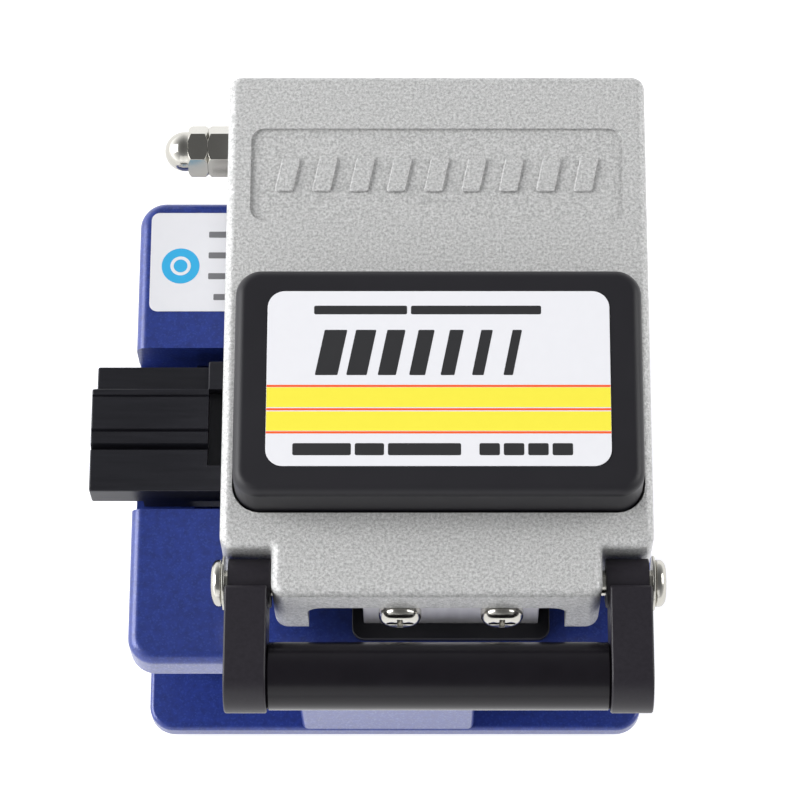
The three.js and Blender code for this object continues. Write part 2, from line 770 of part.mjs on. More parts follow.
// Adapter with its fibre groove and side slot
function makeAdapter(group) {
  const front = ADAPTER_BACK - ADAPTER_D;
  const stepY = ADAPTER_BACK - ADAPTER_STEP_D;
  const stepTop = ADAPTER_TOP - ADAPTER_STEP_H;
  const main = box(ADAPTER_LEFT, ADAPTER_RIGHT, front, stepY, ADAPTER_UNDER, ADAPTER_TOP);
  const step = box(
    ADAPTER_LEFT + ADAPTER_STEP_IN,
    ADAPTER_RIGHT,
    stepY - PAST,
    ADAPTER_BACK,
    ADAPTER_UNDER,
    stepTop,
  );
  const tab = box(
    CROSS_SLOT_X - TAB_LAP,
    ADAPTER_RIGHT,
    stepY - PAST,
    ADAPTER_BACK,
    ADAPTER_UNDER,
    ADAPTER_TOP - PAD_BITE,
  );
  const crossSlot = box(
    CROSS_SLOT_X,
    CROSS_SLOT_X + CROSS_SLOT_W,
    FIBRE_Y - CROSS_SLOT_AHEAD,
    stepY,
    ADAPTER_TOP - CROSS_SLOT_H,
    ADAPTER_TOP + PAST,
  );
  const groove = (y, halfWidth, depth) =>
    prismX(
      [
        [y - halfWidth, ADAPTER_TOP + SEAT, 0],
        [y, ADAPTER_TOP - depth, 0],
        [y + halfWidth, ADAPTER_TOP + SEAT, 0],
      ],
      ADAPTER_LEFT - PAST,
      ADAPTER_RIGHT + PAST,
    );
  const adapter = joined(main, step, tab)
    .subtract(crossSlot)
    .subtract(groove(FIBRE_Y, GUIDE_W / 2, FIBRE_H + GUIDE_EXTRA_H))
    .subtract(groove(FIBRE_Y + SIDE_GROOVE_BACK, SIDE_GROOVE_W / 2, SIDE_GROOVE_H));
  group.add(mesh("fiber_adapter", adapter, blackAnodised));
  const seatBlock = box(
    DECK_LEFT + SEAT_BLOCK_INSET,
    ADAPTER_RIGHT - SEAT_BLOCK_INSET,
    front + SEAT_BLOCK_INSET,
    ADAPTER_BACK - SEAT_BLOCK_INSET,
    CHANNEL_FLOOR + SEAT,
    ADAPTER_UNDER - SEAT,
  );
  group.add(mesh("adapter_seat", seatBlock, steel));
}

// Lid
function lidOutline(inset) {
  const r = Math.max(LID_R - inset, 0.4);
  return roundedPath([
    [LID_LEFT + inset, NOTCH_BACK + inset, r],
    [TONGUE_LEFT + inset, NOTCH_BACK + inset, 0],
    [TONGUE_LEFT + inset, LID_FRONT + inset, r],
    [TONGUE_RIGHT - inset, LID_FRONT + inset, r],
    [TONGUE_RIGHT - inset, NOTCH_BACK + inset, 0],
    [LID_RIGHT - inset, NOTCH_BACK + inset, r],
    [LID_RIGHT - inset, LID_BACK - inset, r],
    [LID_LEFT + inset, LID_BACK - inset, r],
  ]);
}

function pressPlaces() {
  return [
    [CAP_X - PLUNGER_SPREAD, CAP_Y + PLUNGER_BACK, "left"],
    [CAP_X + PLUNGER_SPREAD, CAP_Y + PLUNGER_BACK, "right"],
    [BLADE_X, FIBRE_Y, "anvil"],
  ];
}

function makeLidShell() {
  const earBottom = HINGE_Z - EAR_R;
  const shell = slab(lidOutline(0), earBottom, LID_TOP, LID_FILLET)
    .subtract(slab(lidOutline(LID_WALL), earBottom - PAST, LID_UNDER));
  const skirtCut = prismX(
    [
      [LID_FRONT - PAST, earBottom - PAST, 0],
      [HINGE_Y, earBottom - PAST, 0],
      [HINGE_Y, LID_SKIRT, 0],
      [LID_FRONT - PAST, LID_SKIRT, 0],
    ],
    LID_LEFT - PAST,
    LID_RIGHT + PAST,
  );
  const backCut = prismX(
    [
      [HINGE_Y, earBottom - PAST, 0],
      [LID_BACK + PAST, earBottom - PAST, 0],
      [LID_BACK + PAST, LID_TOP - BACK_WALL_H, 0],
      [HINGE_Y + EAR_R, LID_TOP - BACK_WALL_H, 0],
      [HINGE_Y + EAR_R, HINGE_Z, 0],
      [HINGE_Y, HINGE_Z, 0],
    ],
    LID_LEFT - PAST,
    LID_RIGHT + PAST,
  );
  const knuckleWay = box(
    LID_LEFT + LID_WALL,
    LID_RIGHT - LID_WALL,
    HINGE_Y,
    LID_BACK + PAST,
    earBottom - PAST,
    LID_TOP - BACK_WALL_H,
  );
  const ears = [LID_LEFT, LID_RIGHT - LID_WALL].map((x) => rod(
    EAR_R,
    LID_WALL,
    ROUND,
    "X",
    x,
    HINGE_Y,
    HINGE_Z,
  ));
  const archLeft = TONGUE_LEFT + FOOT_W;
  const archRight = TONGUE_RIGHT - FOOT_W;
  const arch = prismY(
    [
      [archLeft, LID_SKIRT - PAST, 0],
      [archRight, LID_SKIRT - PAST, 0],
      [archRight, LID_TOP - ARCH_H, ARCH_R],
      [archLeft, LID_TOP - ARCH_H, ARCH_R],
    ],
    LID_FRONT - PAST,
    LID_FRONT + LID_WALL + PAST,
  );
  const tub = box(
    LID_LEFT + LID_WALL / 2,
    LID_RIGHT - LID_WALL / 2,
    CAP_Y - CAP_D / 2 - RUN - TUB_WALL,
    CAP_Y + CAP_D / 2 + RUN + TUB_WALL,
    TUB_UNDER,
    LID_UNDER + PAST / 2,
  );
  const pocket = slab(
    rectangle(
      CAP_X - CAP_W / 2 - RUN,
      CAP_X + CAP_W / 2 + RUN,
      CAP_Y - CAP_D / 2 - RUN,
      CAP_Y + CAP_D / 2 + RUN,
      CAP_R + RUN,
    ),
    TUB_FLOOR,
    LID_TOP + PAST,
  );
  const bushHoles = pressPlaces().map(([x, y]) =>
    boreRod(PLUNGER_R + BUSH_T, TUB_FLOOR_T + 2 * PAST, SMALL_ROUND, "Z", x, y, TUB_UNDER - PAST),
  );
  const tongueX = tongueMiddle();
  const boss = box(
    tongueX - TONGUE_W / 2,
    tongueX + TONGUE_W / 2,
    TONGUE_BACK + SEAT,
    TONGUE_BACK + CATCH_SCREW_L,
    LID_TOP - CATCH_SCREW_DROP - CATCH_HEAD_R,
    LID_UNDER + PAST / 2,
  );
  const tongueSlot = box(
    tongueX - TONGUE_W / 2 - SEAT,
    tongueX + TONGUE_W / 2 + SEAT,
    TONGUE_FRONT - SEAT,
    TONGUE_BACK + SEAT,
    LID_SKIRT - PAST,
    LID_UNDER,
  );
  const catchHoles = catchPlaces().map((x) =>
    boreRod(CATCH_SHANK_R, CATCH_SCREW_L, SMALL_ROUND, "Y", x, TONGUE_FRONT, LID_TOP - CATCH_SCREW_DROP),
  );
  const bailHoles = boreRod(
    BAIL_SHANK_R,
    LID_W + 2 * PAST,
    SMALL_ROUND,
    "X",
    LID_LEFT - PAST,
    BAIL_Y,
    BAIL_Z,
  );
  const pinHole = boreRod(PIN_R, LID_W, ROUND, "X", LID_LEFT - PAST, HINGE_Y, HINGE_Z);
  const panelBack = LID_BACK - PANEL_BACK_INSET;
  const panel = slab(
    rectangle(LID_X - PANEL_W / 2, LID_X + PANEL_W / 2, panelBack - PANEL_D, panelBack, PANEL_R),
    LID_TOP - PANEL_DEPTH,
    LID_TOP + PAST,
  );
  const pitch = (PANEL_W - RIB_L) / RIB_COUNT;
  const ribs = Array.from({ length: RIB_COUNT }, (_, i) => {
    const x = LID_X + (i - (RIB_COUNT - 1) / 2) * pitch;
    const y = panelBack - PANEL_D / 2;
    const outline = roundedPath([
      [x - RIB_W / 2 - RIB_LEAN / 2, y - RIB_L / 2, 0],
      [x + RIB_W / 2 - RIB_LEAN / 2, y - RIB_L / 2, 0],
      [x + RIB_W / 2 + RIB_LEAN / 2, y + RIB_L / 2, 0],
      [x - RIB_W / 2 + RIB_LEAN / 2, y + RIB_L / 2, 0],
    ]);
    return slab(outline, LID_TOP - 2 * PANEL_DEPTH, LID_TOP);
  });
  return joined(shell.subtract(skirtCut).subtract(backCut).subtract(knuckleWay), ...ears, tub, boss)
    .subtract(pocket)
    .subtract(joined(...bushHoles))
    .subtract(arch)
    .subtract(tongueSlot)
    .subtract(joined(...catchHoles))
    .subtract(bailHoles)
    .subtract(pinHole)
    .subtract(panel)
    .add(joined(...ribs));
}

const tongueMiddle = () => KEEPER_X;
const catchPlaces = () => [tongueMiddle() - CATCH_SCREW_SPREAD / 2, tongueMiddle() + CATCH_SCREW_SPREAD / 2];

function makeLid(group) {
  group.add(mesh("lid_shell", makeLidShell(), silverPaint));
  const tongueX = tongueMiddle();
  const screwZ = LID_TOP - CATCH_SCREW_DROP;
  const holes = catchPlaces().map((x) =>
    boreRod(CATCH_SHANK_R, TONGUE_T + 2 * PAST, SMALL_ROUND, "Y", x, TONGUE_FRONT - PAST, screwZ),
  );
  const tongue = box(
    tongueX - TONGUE_W / 2,
    tongueX + TONGUE_W / 2,
    TONGUE_FRONT,
    TONGUE_BACK,
    KEEPER_TOP + RUN,
    LID_UNDER - SEAT,
  ).subtract(joined(...holes));
  group.add(mesh("catch_tongue", tongue, steel));
  catchPlaces().forEach((x, i) => {
    const shank = CATCH_SCREW_L - PAST;
    const screw = panScrew(
      CATCH_HEAD_R,
      CATCH_HEAD_T,
      CATCH_SHANK_R,
      shank,
      "-Y",
      x,
      TONGUE_FRONT - SEAT,
      screwZ,
    );
    group.add(mesh(`catch_screw_${i + 1}`, screw, chrome));
  });
  clampPlaces().forEach(([x, side]) => {
    const y0 = FIBRE_Y - CLAMP_D / 2;
    const y1 = FIBRE_Y + CLAMP_D / 2;
    const foot = FIBRE_Z + PAD_BITE;
    const padX = x + (CLAMP_W - PAD_W) / 2;
    const block = box(x, x + CLAMP_W, y0, y1, foot + PAD_BITE, TUB_UNDER - SEAT);
    const groove = box(
      padX - SEAT,
      padX + PAD_W + SEAT,
      y0 - PAST,
      y1 + PAST,
      foot - PAST,
      foot + PAD_T + SEAT,
    );
    group.add(mesh(`upper_clamp_${side}`, block.subtract(groove), steel));
    group.add(mesh(`upper_pad_${side}`, box(padX, padX + PAD_W, y0, y1, foot, foot + PAD_T), rubber));
  });
  const pinLeft = LID_LEFT - NUT_T - ACORN_HEX_T;
  const pin = rod(PIN_R, LID_RIGHT - PAST - pinLeft - SEAT, ROUND, "X", pinLeft, HINGE_Y, HINGE_Z);
  group.add(mesh("hinge_pin", pin, steel));
  const nutBore = boreRod(PIN_R, NUT_T + 2 * PAST, ROUND, "-X", LID_LEFT + PAST, HINGE_Y, HINGE_Z);
  const nut = hexPrism(
    NUT_AF,
    NUT_T - SEAT,
    "-X",
    LID_LEFT - SEAT,
    HINGE_Y,
    HINGE_Z,
    NUT_TURN,
  ).subtract(nutBore);
  group.add(mesh("hinge_nut", nut, chrome));
  const acornX = LID_LEFT - NUT_T - 2 * SEAT;
  const dome = turned(
    [
      [0, 0],
      [ACORN_R, 0],
      ...DOME_PROFILE.map(([radius, down]) => [ACORN_R * radius, ACORN_L - ACORN_R * down]),
    ],
    SMALL_ROUND,
    "-X",
    acornX,
    HINGE_Y,
    HINGE_Z,
  );
  const acornHex = hexPrism(NUT_AF, ACORN_HEX_T, "-X", acornX, HINGE_Y, HINGE_Z, NUT_TURN);
  const acornBore = boreRod(PIN_R, ACORN_HEX_T + PAST, ROUND, "-X", acornX + PAST, HINGE_Y, HINGE_Z);
  group.add(mesh("acorn_nut", joined(dome, acornHex).subtract(acornBore), chrome));
  makeBailScrews(group);
  pressPlaces().forEach(([x, y, name]) => {
    const ring = rod(PLUNGER_R + BUSH_T, TUB_FLOOR_T, SMALL_ROUND, "Z", x, y, TUB_UNDER);
    const bore = boreRod(PLUNGER_R, TUB_FLOOR_T + 2 * PAST, SMALL_ROUND, "Z", x, y, TUB_UNDER - PAST);
    group.add(mesh(`press_bush_${name}`, ring.subtract(bore), brass));
  });
}

// Press
function makePress(group) {
  const outline = rectangle(
    CAP_X - CAP_W / 2,
    CAP_X + CAP_W / 2,
    CAP_Y - CAP_D / 2,
    CAP_Y + CAP_D / 2,
    CAP_R,
  );
  const wells = pressPlaces().map(([x, y]) => rod(
    WELL_R,
    WELL_DEPTH + PAST,
    SMALL_ROUND,
    "Z",
    x,
    y,
    CAP_FOOT - PAST,
  ));
  const cap = slab(outline, CAP_FOOT, CAP_TOP, CAP_FILLET).subtract(joined(...wells));
  group.add(mesh("press_cap", cap, blackPlastic));
  const label = slab(
    rectangle(
      CAP_X - CAP_LABEL_W / 2,
      CAP_X + CAP_LABEL_W / 2,
      CAP_Y + CAP_LABEL_BACK - CAP_LABEL_D / 2,
      CAP_Y + CAP_LABEL_BACK + CAP_LABEL_D / 2,
      CAP_LABEL_R,
    ),
    CAP_TOP + SEAT,
    CAP_TOP + SEAT + LABEL_T,
  );
  group.add(mesh("press_label", label, labelWhite));
  pressPlaces().forEach(([x, y, name]) => {
    const spring = coil(x, y, TUB_FLOOR, WELL_TOP, SPRING_R, SPRING_WIRE_R, SPRING_TURNS);
    group.add(mesh(`press_spring_${name}`, spring, steel));
    const headTop = TUB_UNDER - SEAT;
    const isAnvil = name === "anvil";
    const shank = rod(PLUNGER_R, WELL_TOP - SEAT - headTop + PAST, SMALL_ROUND, "Z", x, y, headTop - PAST);
    const head = isAnvil
      ? box(x - ANVIL_W / 2, x + ANVIL_W / 2, y - ANVIL_D / 2, y + ANVIL_D / 2, headTop - ANVIL_H, headTop)
      : rod(PLUNGER_HEAD_R, PLUNGER_HEAD_T, SMALL_ROUND, "Z", x, y, headTop - PLUNGER_HEAD_T);
    group.add(mesh(isAnvil ? "anvil" : `press_plunger_${name}`, joined(shank, head), steel));
  });
}

// Bail
function bailSides() {
  return [
    { name: "left", gap: ARM_GAP_LEFT, inner: TONGUE_LEFT - ARM_GAP_LEFT, out: -1, axis: "-X" },
    { name: "right", gap: ARM_GAP_RIGHT, inner: TONGUE_RIGHT + ARM_GAP_RIGHT, out: 1, axis: "X" },
  ];
}

function makeBail(group) {
  const sides = bailSides();
  sides.forEach(({ name, inner, out }) => {
    const outer = inner + out * ARM_W;
    const x0 = Math.min(inner, outer);
    const x1 = Math.max(inner, outer);
    const arm = prismX(
      [
        [BAIL_Y - HUB_STEP, BAIL_Z - BAR_R, HUB_STEP_R],
        [BAIL_Y - HUB_STEP, BAIL_Z + BAR_R, HUB_STEP_R],
        [BAR_Y, BAIL_Z + ARM_R, 0],
        [BAR_Y, BAIL_Z - ARM_R, 0],
      ],
      x0,
      x1,
    );
    const end = rod(ARM_R, ARM_W, ARM_ROUND, "X", x0, BAR_Y, BAIL_Z);
    const hubX = x0 + BAIL_HUB_INSET;
    const hub = rod(BAIL_HUB_R, ARM_W - 2 * BAIL_HUB_INSET, ROUND, "X", hubX, BAIL_Y, BAIL_Z);
    const bore = boreRod(BAIL_SHANK_R, ARM_W + 2 * PAST, SMALL_ROUND, "X", x0 - PAST, BAIL_Y, BAIL_Z);
    group.add(mesh(`bail_arm_${name}`, joined(arm, end, hub).subtract(bore), blackGloss));
  });
  const [left, right] = sides;
  const bar = rod(
    BAR_R,
    right.inner - left.inner - 2 * SEAT,
    BAR_ROUND,
    "X",
    left.inner + SEAT,
    BAR_Y,
    BAIL_Z,
  );
  group.add(mesh("bail_bar", bar, blackGloss));
}

// The screws that the bail turns on, held by the lid, each with a thin washer under its head.
function makeBailScrews(group) {
  bailSides().forEach(({ name, gap, inner, out, axis }) => {
    const face = inner + out * (ARM_W - BAIL_HUB_INSET + BAIL_HUB_INSET / 2);
    const washerAt = face + out * BAIL_HUB_INSET;
    const ring = rod(BAIL_WASHER_R, BAIL_WASHER_T, ROUND, axis, washerAt, BAIL_Y, BAIL_Z);
    const bore = boreRod(
      BAIL_SHANK_R,
      BAIL_WASHER_T + 2 * PAST,
      SMALL_ROUND,
      axis,
      washerAt - out * PAST,
      BAIL_Y,
      BAIL_Z,
    );
    group.add(mesh(`bail_washer_${name}`, ring.subtract(bore), chrome));
    const under = washerAt + out * (BAIL_WASHER_T + SEAT);
    const shank = Math.abs(under - inner) + gap + BAIL_SCREW_GRIP;
    const screw = panScrew(BAIL_HEAD_R, BAIL_HEAD_T, BAIL_SHANK_R, shank, axis, under, BAIL_Y, BAIL_Z);
    group.add(mesh(`bail_screw_${name}`, screw, chrome));
  });
}

// Slider and blade
function makeSlider(group) {
  const carriageFront = THUMB_BACK;
  const railWay = box(
    -RAIL_W / 2 - RUN,
    RAIL_W / 2 + RUN,
    PLATE_FRONT + THUMB_WALL,
    carriageFront + CARRIAGE_L + PAST,
    PLATE_TOP,
    PLATE_TOP + RAIL_H + RUN,
  );
  const carriage = box(
    -CARRIAGE_W / 2,
    CARRIAGE_W / 2,
    carriageFront,
    carriageFront + CARRIAGE_L,
    PLATE_TOP + SLIDE_GAP,
    CARRIAGE_TOP - SEAT,
  ).subtract(railWay);
  group.add(mesh("rail_carriage", carriage, steel));
  const block = box(
    -BLOCK_W / 2,
    BLOCK_W / 2,
    THUMB_BACK - SEAT,
    THUMB_BACK + BLOCK_D,
    CARRIAGE_TOP,
    BLOCK_TOP,
  );
  const thumb = slab(
    rectangle(THUMB_X - THUMB_W / 2, THUMB_X + THUMB_W / 2, PLATE_FRONT, THUMB_BACK - SEAT, THUMB_FILLET),
    PLATE_TOP + SLIDE_GAP,
    BLOCK_TOP,
  );
  group.add(mesh("slider_block", joined(block, thumb).subtract(railWay), bluePaint));
  const mountX = BLADE_X + BLADE_T / 2 + HUB_T + 2 * SEAT + BORE_GAP;
  const mountBore = boreRod(PIN_R, MOUNT_W + 2 * PAST, SMALL_ROUND, "X", mountX - PAST, BLADE_Y, BLADE_Z);
  const mount = box(
    mountX,
    mountX + MOUNT_W,
    BLADE_Y - MOUNT_D / 2,
    BLADE_Y + MOUNT_D / 2,
    BLOCK_TOP + SEAT,
    BLADE_Z + HUB_R,
  ).subtract(mountBore);
  group.add(mesh("blade_mount", mount, steel));
  const faceX = BLADE_X - BLADE_T / 2 - BORE_GAP;
  const shankL = mountX + MOUNT_W - PAST - faceX;
  const screw = panScrew(
    BLADE_SCREW_HEAD_R,
    BLADE_SCREW_HEAD_T,
    PIN_R,
    shankL,
    "-X",
    faceX,
    BLADE_Y,
    BLADE_Z,
  );
  group.add(mesh("blade_screw", screw, steel));
}

function makeBlade(group) {
  const left = BLADE_X - BLADE_T / 2;
  const disc = turned(
    [
      [0, 0],
      [BLADE_R - BLADE_BEVEL, 0],
      [BLADE_R, BLADE_T / 2],
      [BLADE_R - BLADE_BEVEL, BLADE_T],
      [0, BLADE_T],
    ],
    BLADE_ROUND,
    "X",
    left,
    BLADE_Y,
    BLADE_Z,
  );
  const bore = boreRod(PIN_R, BLADE_T + HUB_T + 2 * PAST, SMALL_ROUND, "X", left - PAST, BLADE_Y, BLADE_Z);
  group.add(mesh("blade_wheel", disc.subtract(bore), carbide));
  const hub = rod(HUB_R, HUB_T, ROUND, "X", left + BLADE_T + SEAT, BLADE_Y, BLADE_Z);
  group.add(mesh("blade_hub", hub.subtract(bore), brass));
}

const cleaver = new THREE.Group();
[
  makeBase,
  makeLowerClamps,
  makeDeckTrim,
  makeHingeBushes,
  makeAdapter,
  makeLid,
  makePress,
  makeBail,
  makeSlider,
  makeBlade,
].forEach((make) => {
  const assembly = new THREE.Group();
  make(assembly);
  cleaver.add(assembly);
});

export default cleaver;
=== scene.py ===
"""Looks for a compact optical fibre cleaver: lid, press cap, bail, casting, adapter, slider and stage."""

import json
import math

import bmesh
import bpy
from bpy.props import FloatProperty, FloatVectorProperty, IntProperty, PointerProperty
from mathutils import Matrix, Vector


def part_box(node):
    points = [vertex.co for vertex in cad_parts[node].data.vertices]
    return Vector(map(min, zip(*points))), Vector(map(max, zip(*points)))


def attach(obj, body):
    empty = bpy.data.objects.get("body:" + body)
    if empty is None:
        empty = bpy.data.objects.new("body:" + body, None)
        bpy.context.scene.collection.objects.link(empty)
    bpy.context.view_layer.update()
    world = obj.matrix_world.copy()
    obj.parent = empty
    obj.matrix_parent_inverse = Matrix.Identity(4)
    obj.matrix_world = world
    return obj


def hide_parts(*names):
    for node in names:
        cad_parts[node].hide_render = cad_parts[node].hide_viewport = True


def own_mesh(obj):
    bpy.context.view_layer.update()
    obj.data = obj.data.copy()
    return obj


bl_info = {
    "name": "Fibre cleaver",
    "version": (1, 0, 0),
    "blender": (4, 5, 0),
    "location": "3D View > Sidebar > Cleaver",
    "description": "Builds the pieces, finishes and stage of a compact optical fibre cleaver",
    "category": "Object",
}

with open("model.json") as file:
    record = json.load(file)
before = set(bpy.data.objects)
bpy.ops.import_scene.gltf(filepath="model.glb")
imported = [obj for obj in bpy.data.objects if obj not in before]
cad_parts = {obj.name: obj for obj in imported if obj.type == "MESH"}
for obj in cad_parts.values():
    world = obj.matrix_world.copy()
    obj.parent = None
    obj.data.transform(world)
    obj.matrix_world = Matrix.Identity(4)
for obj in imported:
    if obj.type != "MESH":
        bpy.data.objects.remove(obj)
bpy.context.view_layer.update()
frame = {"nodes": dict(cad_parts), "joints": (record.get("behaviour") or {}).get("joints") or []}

MM = 0.001
SEAT = 0.02  # mm, between faces that rest on each other
PAST = 1.0  # mm, how far a cutter runs past a face
SHARP = 0.01  # mm, the corner radius of an outline that stays sharp
BORE_R = 1.56  # mm, a clear hole for a 3 mm screw or pin
PRINT_ROOM = 0.03  # mm, how far a label's film stays below the top of its box, for the print
PRINT_LIFT = 0.002  # mm, between a film and its print
PRINT_T = 0.012  # mm


# ---------------------------------------------------------------- places, in millimetres


class Box:
    """A CAD node's box at rest, in millimetres."""

    def __init__(self, node):
        low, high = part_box(node)
        self.x0, self.y0, self.z0 = (v / MM for v in low)
        self.x1, self.y1, self.z1 = (v / MM for v in high)
        self.x = (self.x0 + self.x1) / 2
        self.y = (self.y0 + self.y1) / 2
        self.z = (self.z0 + self.z1) / 2
        self.w = self.x1 - self.x0
        self.d = self.y1 - self.y0
        self.h = self.z1 - self.z0


def joint(name):
    return next(j for j in frame["joints"] if j["name"] == name)


def joint_place(name):
    """A hinge's place, in millimetres."""
    return Vector(joint(name)["pos_m"]) / MM


def travel(name):
    """How far a slide moves, in millimetres."""
    return joint(name)["range_m"][1] / MM


# ---------------------------------------------------------------- settings


def length(name, description, default):
    return FloatProperty(name=name, description=description, default=default * MM, min=0.0, unit="LENGTH")


def factor(name, description, default):
    return FloatProperty(name=name, description=description, default=default, subtype="FACTOR", soft_max=2.0)


def colour(name, description, default):
    return FloatVectorProperty(
        name=name, description=description, default=default, subtype="COLOR", size=3, min=0.0, max=1.0
    )


class LidSettings(bpy.types.PropertyGroup):
    edge: length("Edge round", "Radius of the lid's top edge", 1.1)
    corner: length("Corner round", "Radius of the lid's corners in plan", 1.6)
    wall: length("Wall", "Thickness of the lid's walls", 2.0)
    roof: length("Roof", "Thickness of the lid's top", 2.5)
    notch_width: length("Notch width", "Width of each front notch", 6.0)
    notch_depth: length("Notch depth", "Depth of each front notch", 5.8)
    skirt: length("Skirt height", "From the lid's top to its skirt's lower edge", 12.6)
    arch: length("Arch height", "Height of the front lip between its feet", 5.1)
    foot: length("Foot width", "Width of each front foot", 4.0)
    panel_depth: length("Panel depth", "Depth of the recessed panel", 0.4)
    ribs: IntProperty(
        name="Ribs", description="How many raised ribs the panel has", default=9, min=1, subtype="UNSIGNED"
    )
    paint: colour("Paint", "Silver paint", (0.50, 0.50, 0.495))


class BodySettings(bpy.types.PropertyGroup):
    edge: length("Edge round", "Radius of the deck's top edge", 1.3)
    corner: length("Corner round", "Radius of the deck's corners in plan", 3.2)
    label_inset: length("Label inset", "From the deck's label to the deck's back edge", 1.65)
    channel_side: length("Channel side", "From the adapter to the side of its channel", 0.8)
    channel_back: length("Channel back", "From the adapter to the back of its channel", 2.4)
    channel_front: length("Channel front", "From the adapter to the front of its channel", 1.6)
    paint: colour("Paint", "Blue metallic paint", (0.015, 0.034, 0.215))


class TrimSettings(bpy.types.PropertyGroup):
    plastic: colour("Plastic", "Press cap plastic", (0.007, 0.0065, 0.009))
    gloss: colour("Bail", "Bail finish", (0.005, 0.0042, 0.006))
    anodised: colour("Anodised", "Adapter and keeper finish", (0.009, 0.009, 0.013))
    label: colour("Label", "Label film", (0.76, 0.76, 0.79))
    band: colour("Band", "Printed bands", (0.86, 0.76, 0.05))
    line: colour("Line", "Printed lines", (0.86, 0.10, 0.01))
    ink: colour("Ink", "Printed bars", (0.012, 0.012, 0.014))
    grey_ink: colour("Grey ink", "Printed bars on the deck's label", (0.16, 0.16, 0.17))
    disc: colour("Disc", "Disc on the deck's label", (0.03, 0.40, 0.72))


class StageSettings(bpy.types.PropertyGroup):
    lens: FloatProperty(
        name="Lens", description="Focal length of the camera", default=158.5, min=1.0, unit="CAMERA"
    )
    distance: length("Distance", "From the camera to the lid", 409.9)
    elevation: FloatProperty(
        name="Elevation",
        description="Camera's height above the horizon",
        default=math.radians(70.0),
        subtype="ANGLE",
    )
    shift: factor("Shift", "Camera's sideways shift", -0.046)
    floor: colour("Floor", "Floor", (0.6, 0.6, 0.6))
    sky: factor("Sky", "Strength of the soft light from all round", 0.75)
    glow: factor("Glow", "Light given by the pale floor itself", 0.72)


SETTINGS = {
    "cleaver_lid": LidSettings,
    "cleaver_body": BodySettings,
    "cleaver_trim": TrimSettings,
    "cleaver_stage": StageSettings,
}


class Values:
    """A settings group's values, with its lengths in millimetres."""

    def __init__(self, group):
        self.group = group

    def __getattr__(self, key):
        value = getattr(self.group, key)
        return value / MM if self.group.bl_rna.properties[key].unit == "LENGTH" else value


def settings(name):
    return Values(getattr(bpy.context.scene, "cleaver_" + name))


# ---------------------------------------------------------------- mesh tools


def new_object(name, mesh):
    made = bpy.data.objects.new(name, mesh)
    bpy.context.scene.collection.objects.link(made)
    return made


def from_faces(name, vertices, faces):
    """A mesh object with doubled points joined and its faces turned outwards."""
    mesh = bpy.data.meshes.new(name)
    mesh.from_pydata([tuple(v) for v in vertices], [], faces)
    mesh.validate()
    made = new_object(name, mesh)
    work = bmesh.new()
    work.from_mesh(mesh)
    bmesh.ops.remove_doubles(work, verts=work.verts, dist=1e-5)
    bmesh.ops.recalc_face_normals(work, faces=work.faces)
    work.to_mesh(mesh)
    work.free()
    return made


def offset_path(points, inset):
    """The same closed path of [x, y, radius] points, drawn inset inside it. Points run anticlockwise."""
    made = []
    count = len(points)
    for i, (x, y, radius) in enumerate(points):
        here = Vector((x, y))
        into = (here - Vector(points[i - 1][:2])).normalized()
        out = (Vector(points[(i + 1) % count][:2]) - here).normalized()
        n0 = Vector((-into.y, into.x))
        n1 = Vector((-out.y, out.x))
        turn = into.x * out.y - into.y * out.x
        shift = (n0 + n1) * (inset / (1 + n0.dot(n1)))
        grown = radius - inset if turn > 0 else radius + inset
        made.append((x + shift.x, y + shift.y, max(grown, SHARP)))
    return made


def trace(points, segments):
    """A closed path of [x, y, radius] points as plain points, with a round corner at each."""
    made = []
    count = len(points)
    for i, (x, y, radius) in enumerate(points):
        here = Vector((x, y))
        before = (Vector(points[i - 1][:2]) - here).normalized()
        after = (Vector(points[(i + 1) % count][:2]) - here).normalized()
        half = math.acos(max(-1.0, min(1.0, before.dot(after)))) / 2
        start = here + before * (radius / math.tan(half))
        end = here + after * (radius / math.tan(half))
        centre = here + (before + after).normalized() * (radius / math.sin(half))
        a0 = math.atan2(start.y - centre.y, start.x - centre.x)
        a1 = math.atan2(end.y - centre.y, end.x - centre.x)
        sweep = (a1 - a0 + math.pi) % (2 * math.pi) - math.pi
        for k in range(segments + 1):
            angle = a0 + sweep * k / segments
            made.append((centre.x + radius * math.cos(angle), centre.y + radius * math.sin(angle)))
    return made


def place(axis, u, v, along):
    """A point drawn as (u, v) across an axis, at along on it."""
    return {"X": (along, u, v), "Y": (v, along, u), "Z": (u, v, along)}[axis]


def loft(name, points, rings, axis="Z", segments=8):
    """A closed body through rings: the outline of points, drawn inset, at a distance along the axis."""
    vertices = []
    faces = []
    count = 0
    for inset, along in rings:
        ring = trace(offset_path(points, inset), segments)
        count = len(ring)
        vertices += [place(axis, u, v, along) for u, v in ring]
    for r in range(len(rings) - 1):
        for i in range(count):
            j = (i + 1) % count
            faces.append((r * count + i, r * count + j, (r + 1) * count + j, (r + 1) * count + i))
    faces.append(tuple(reversed(range(count))))
    faces.append(tuple((len(rings) - 1) * count + i for i in range(count)))
    return from_faces(name, vertices, faces)


def filleted(low, high, low_round, high_round, steps=6):
    """Rings for loft, from low to high, with a quarter-round at each end."""
    rings = []
    if low_round:
        for k in range(steps + 1):
            a = math.pi / 2 * k / steps
            rings.append((low_round * (1 - math.sin(a)), low + low_round * (1 - math.cos(a))))
    else:
        rings.append((0.0, low))
    if high_round:
        for k in range(steps + 1):
            a = math.pi / 2 * k / steps
            rings.append((high_round * (1 - math.cos(a)), high - high_round * (1 - math.sin(a))))
    else:
        rings.append((0.0, high))
    return rings


def rounded_rect(x0, x1, y0, y1, r):
    return [(x0, y0, r), (x1, y0, r), (x1, y1, r), (x0, y1, r)]


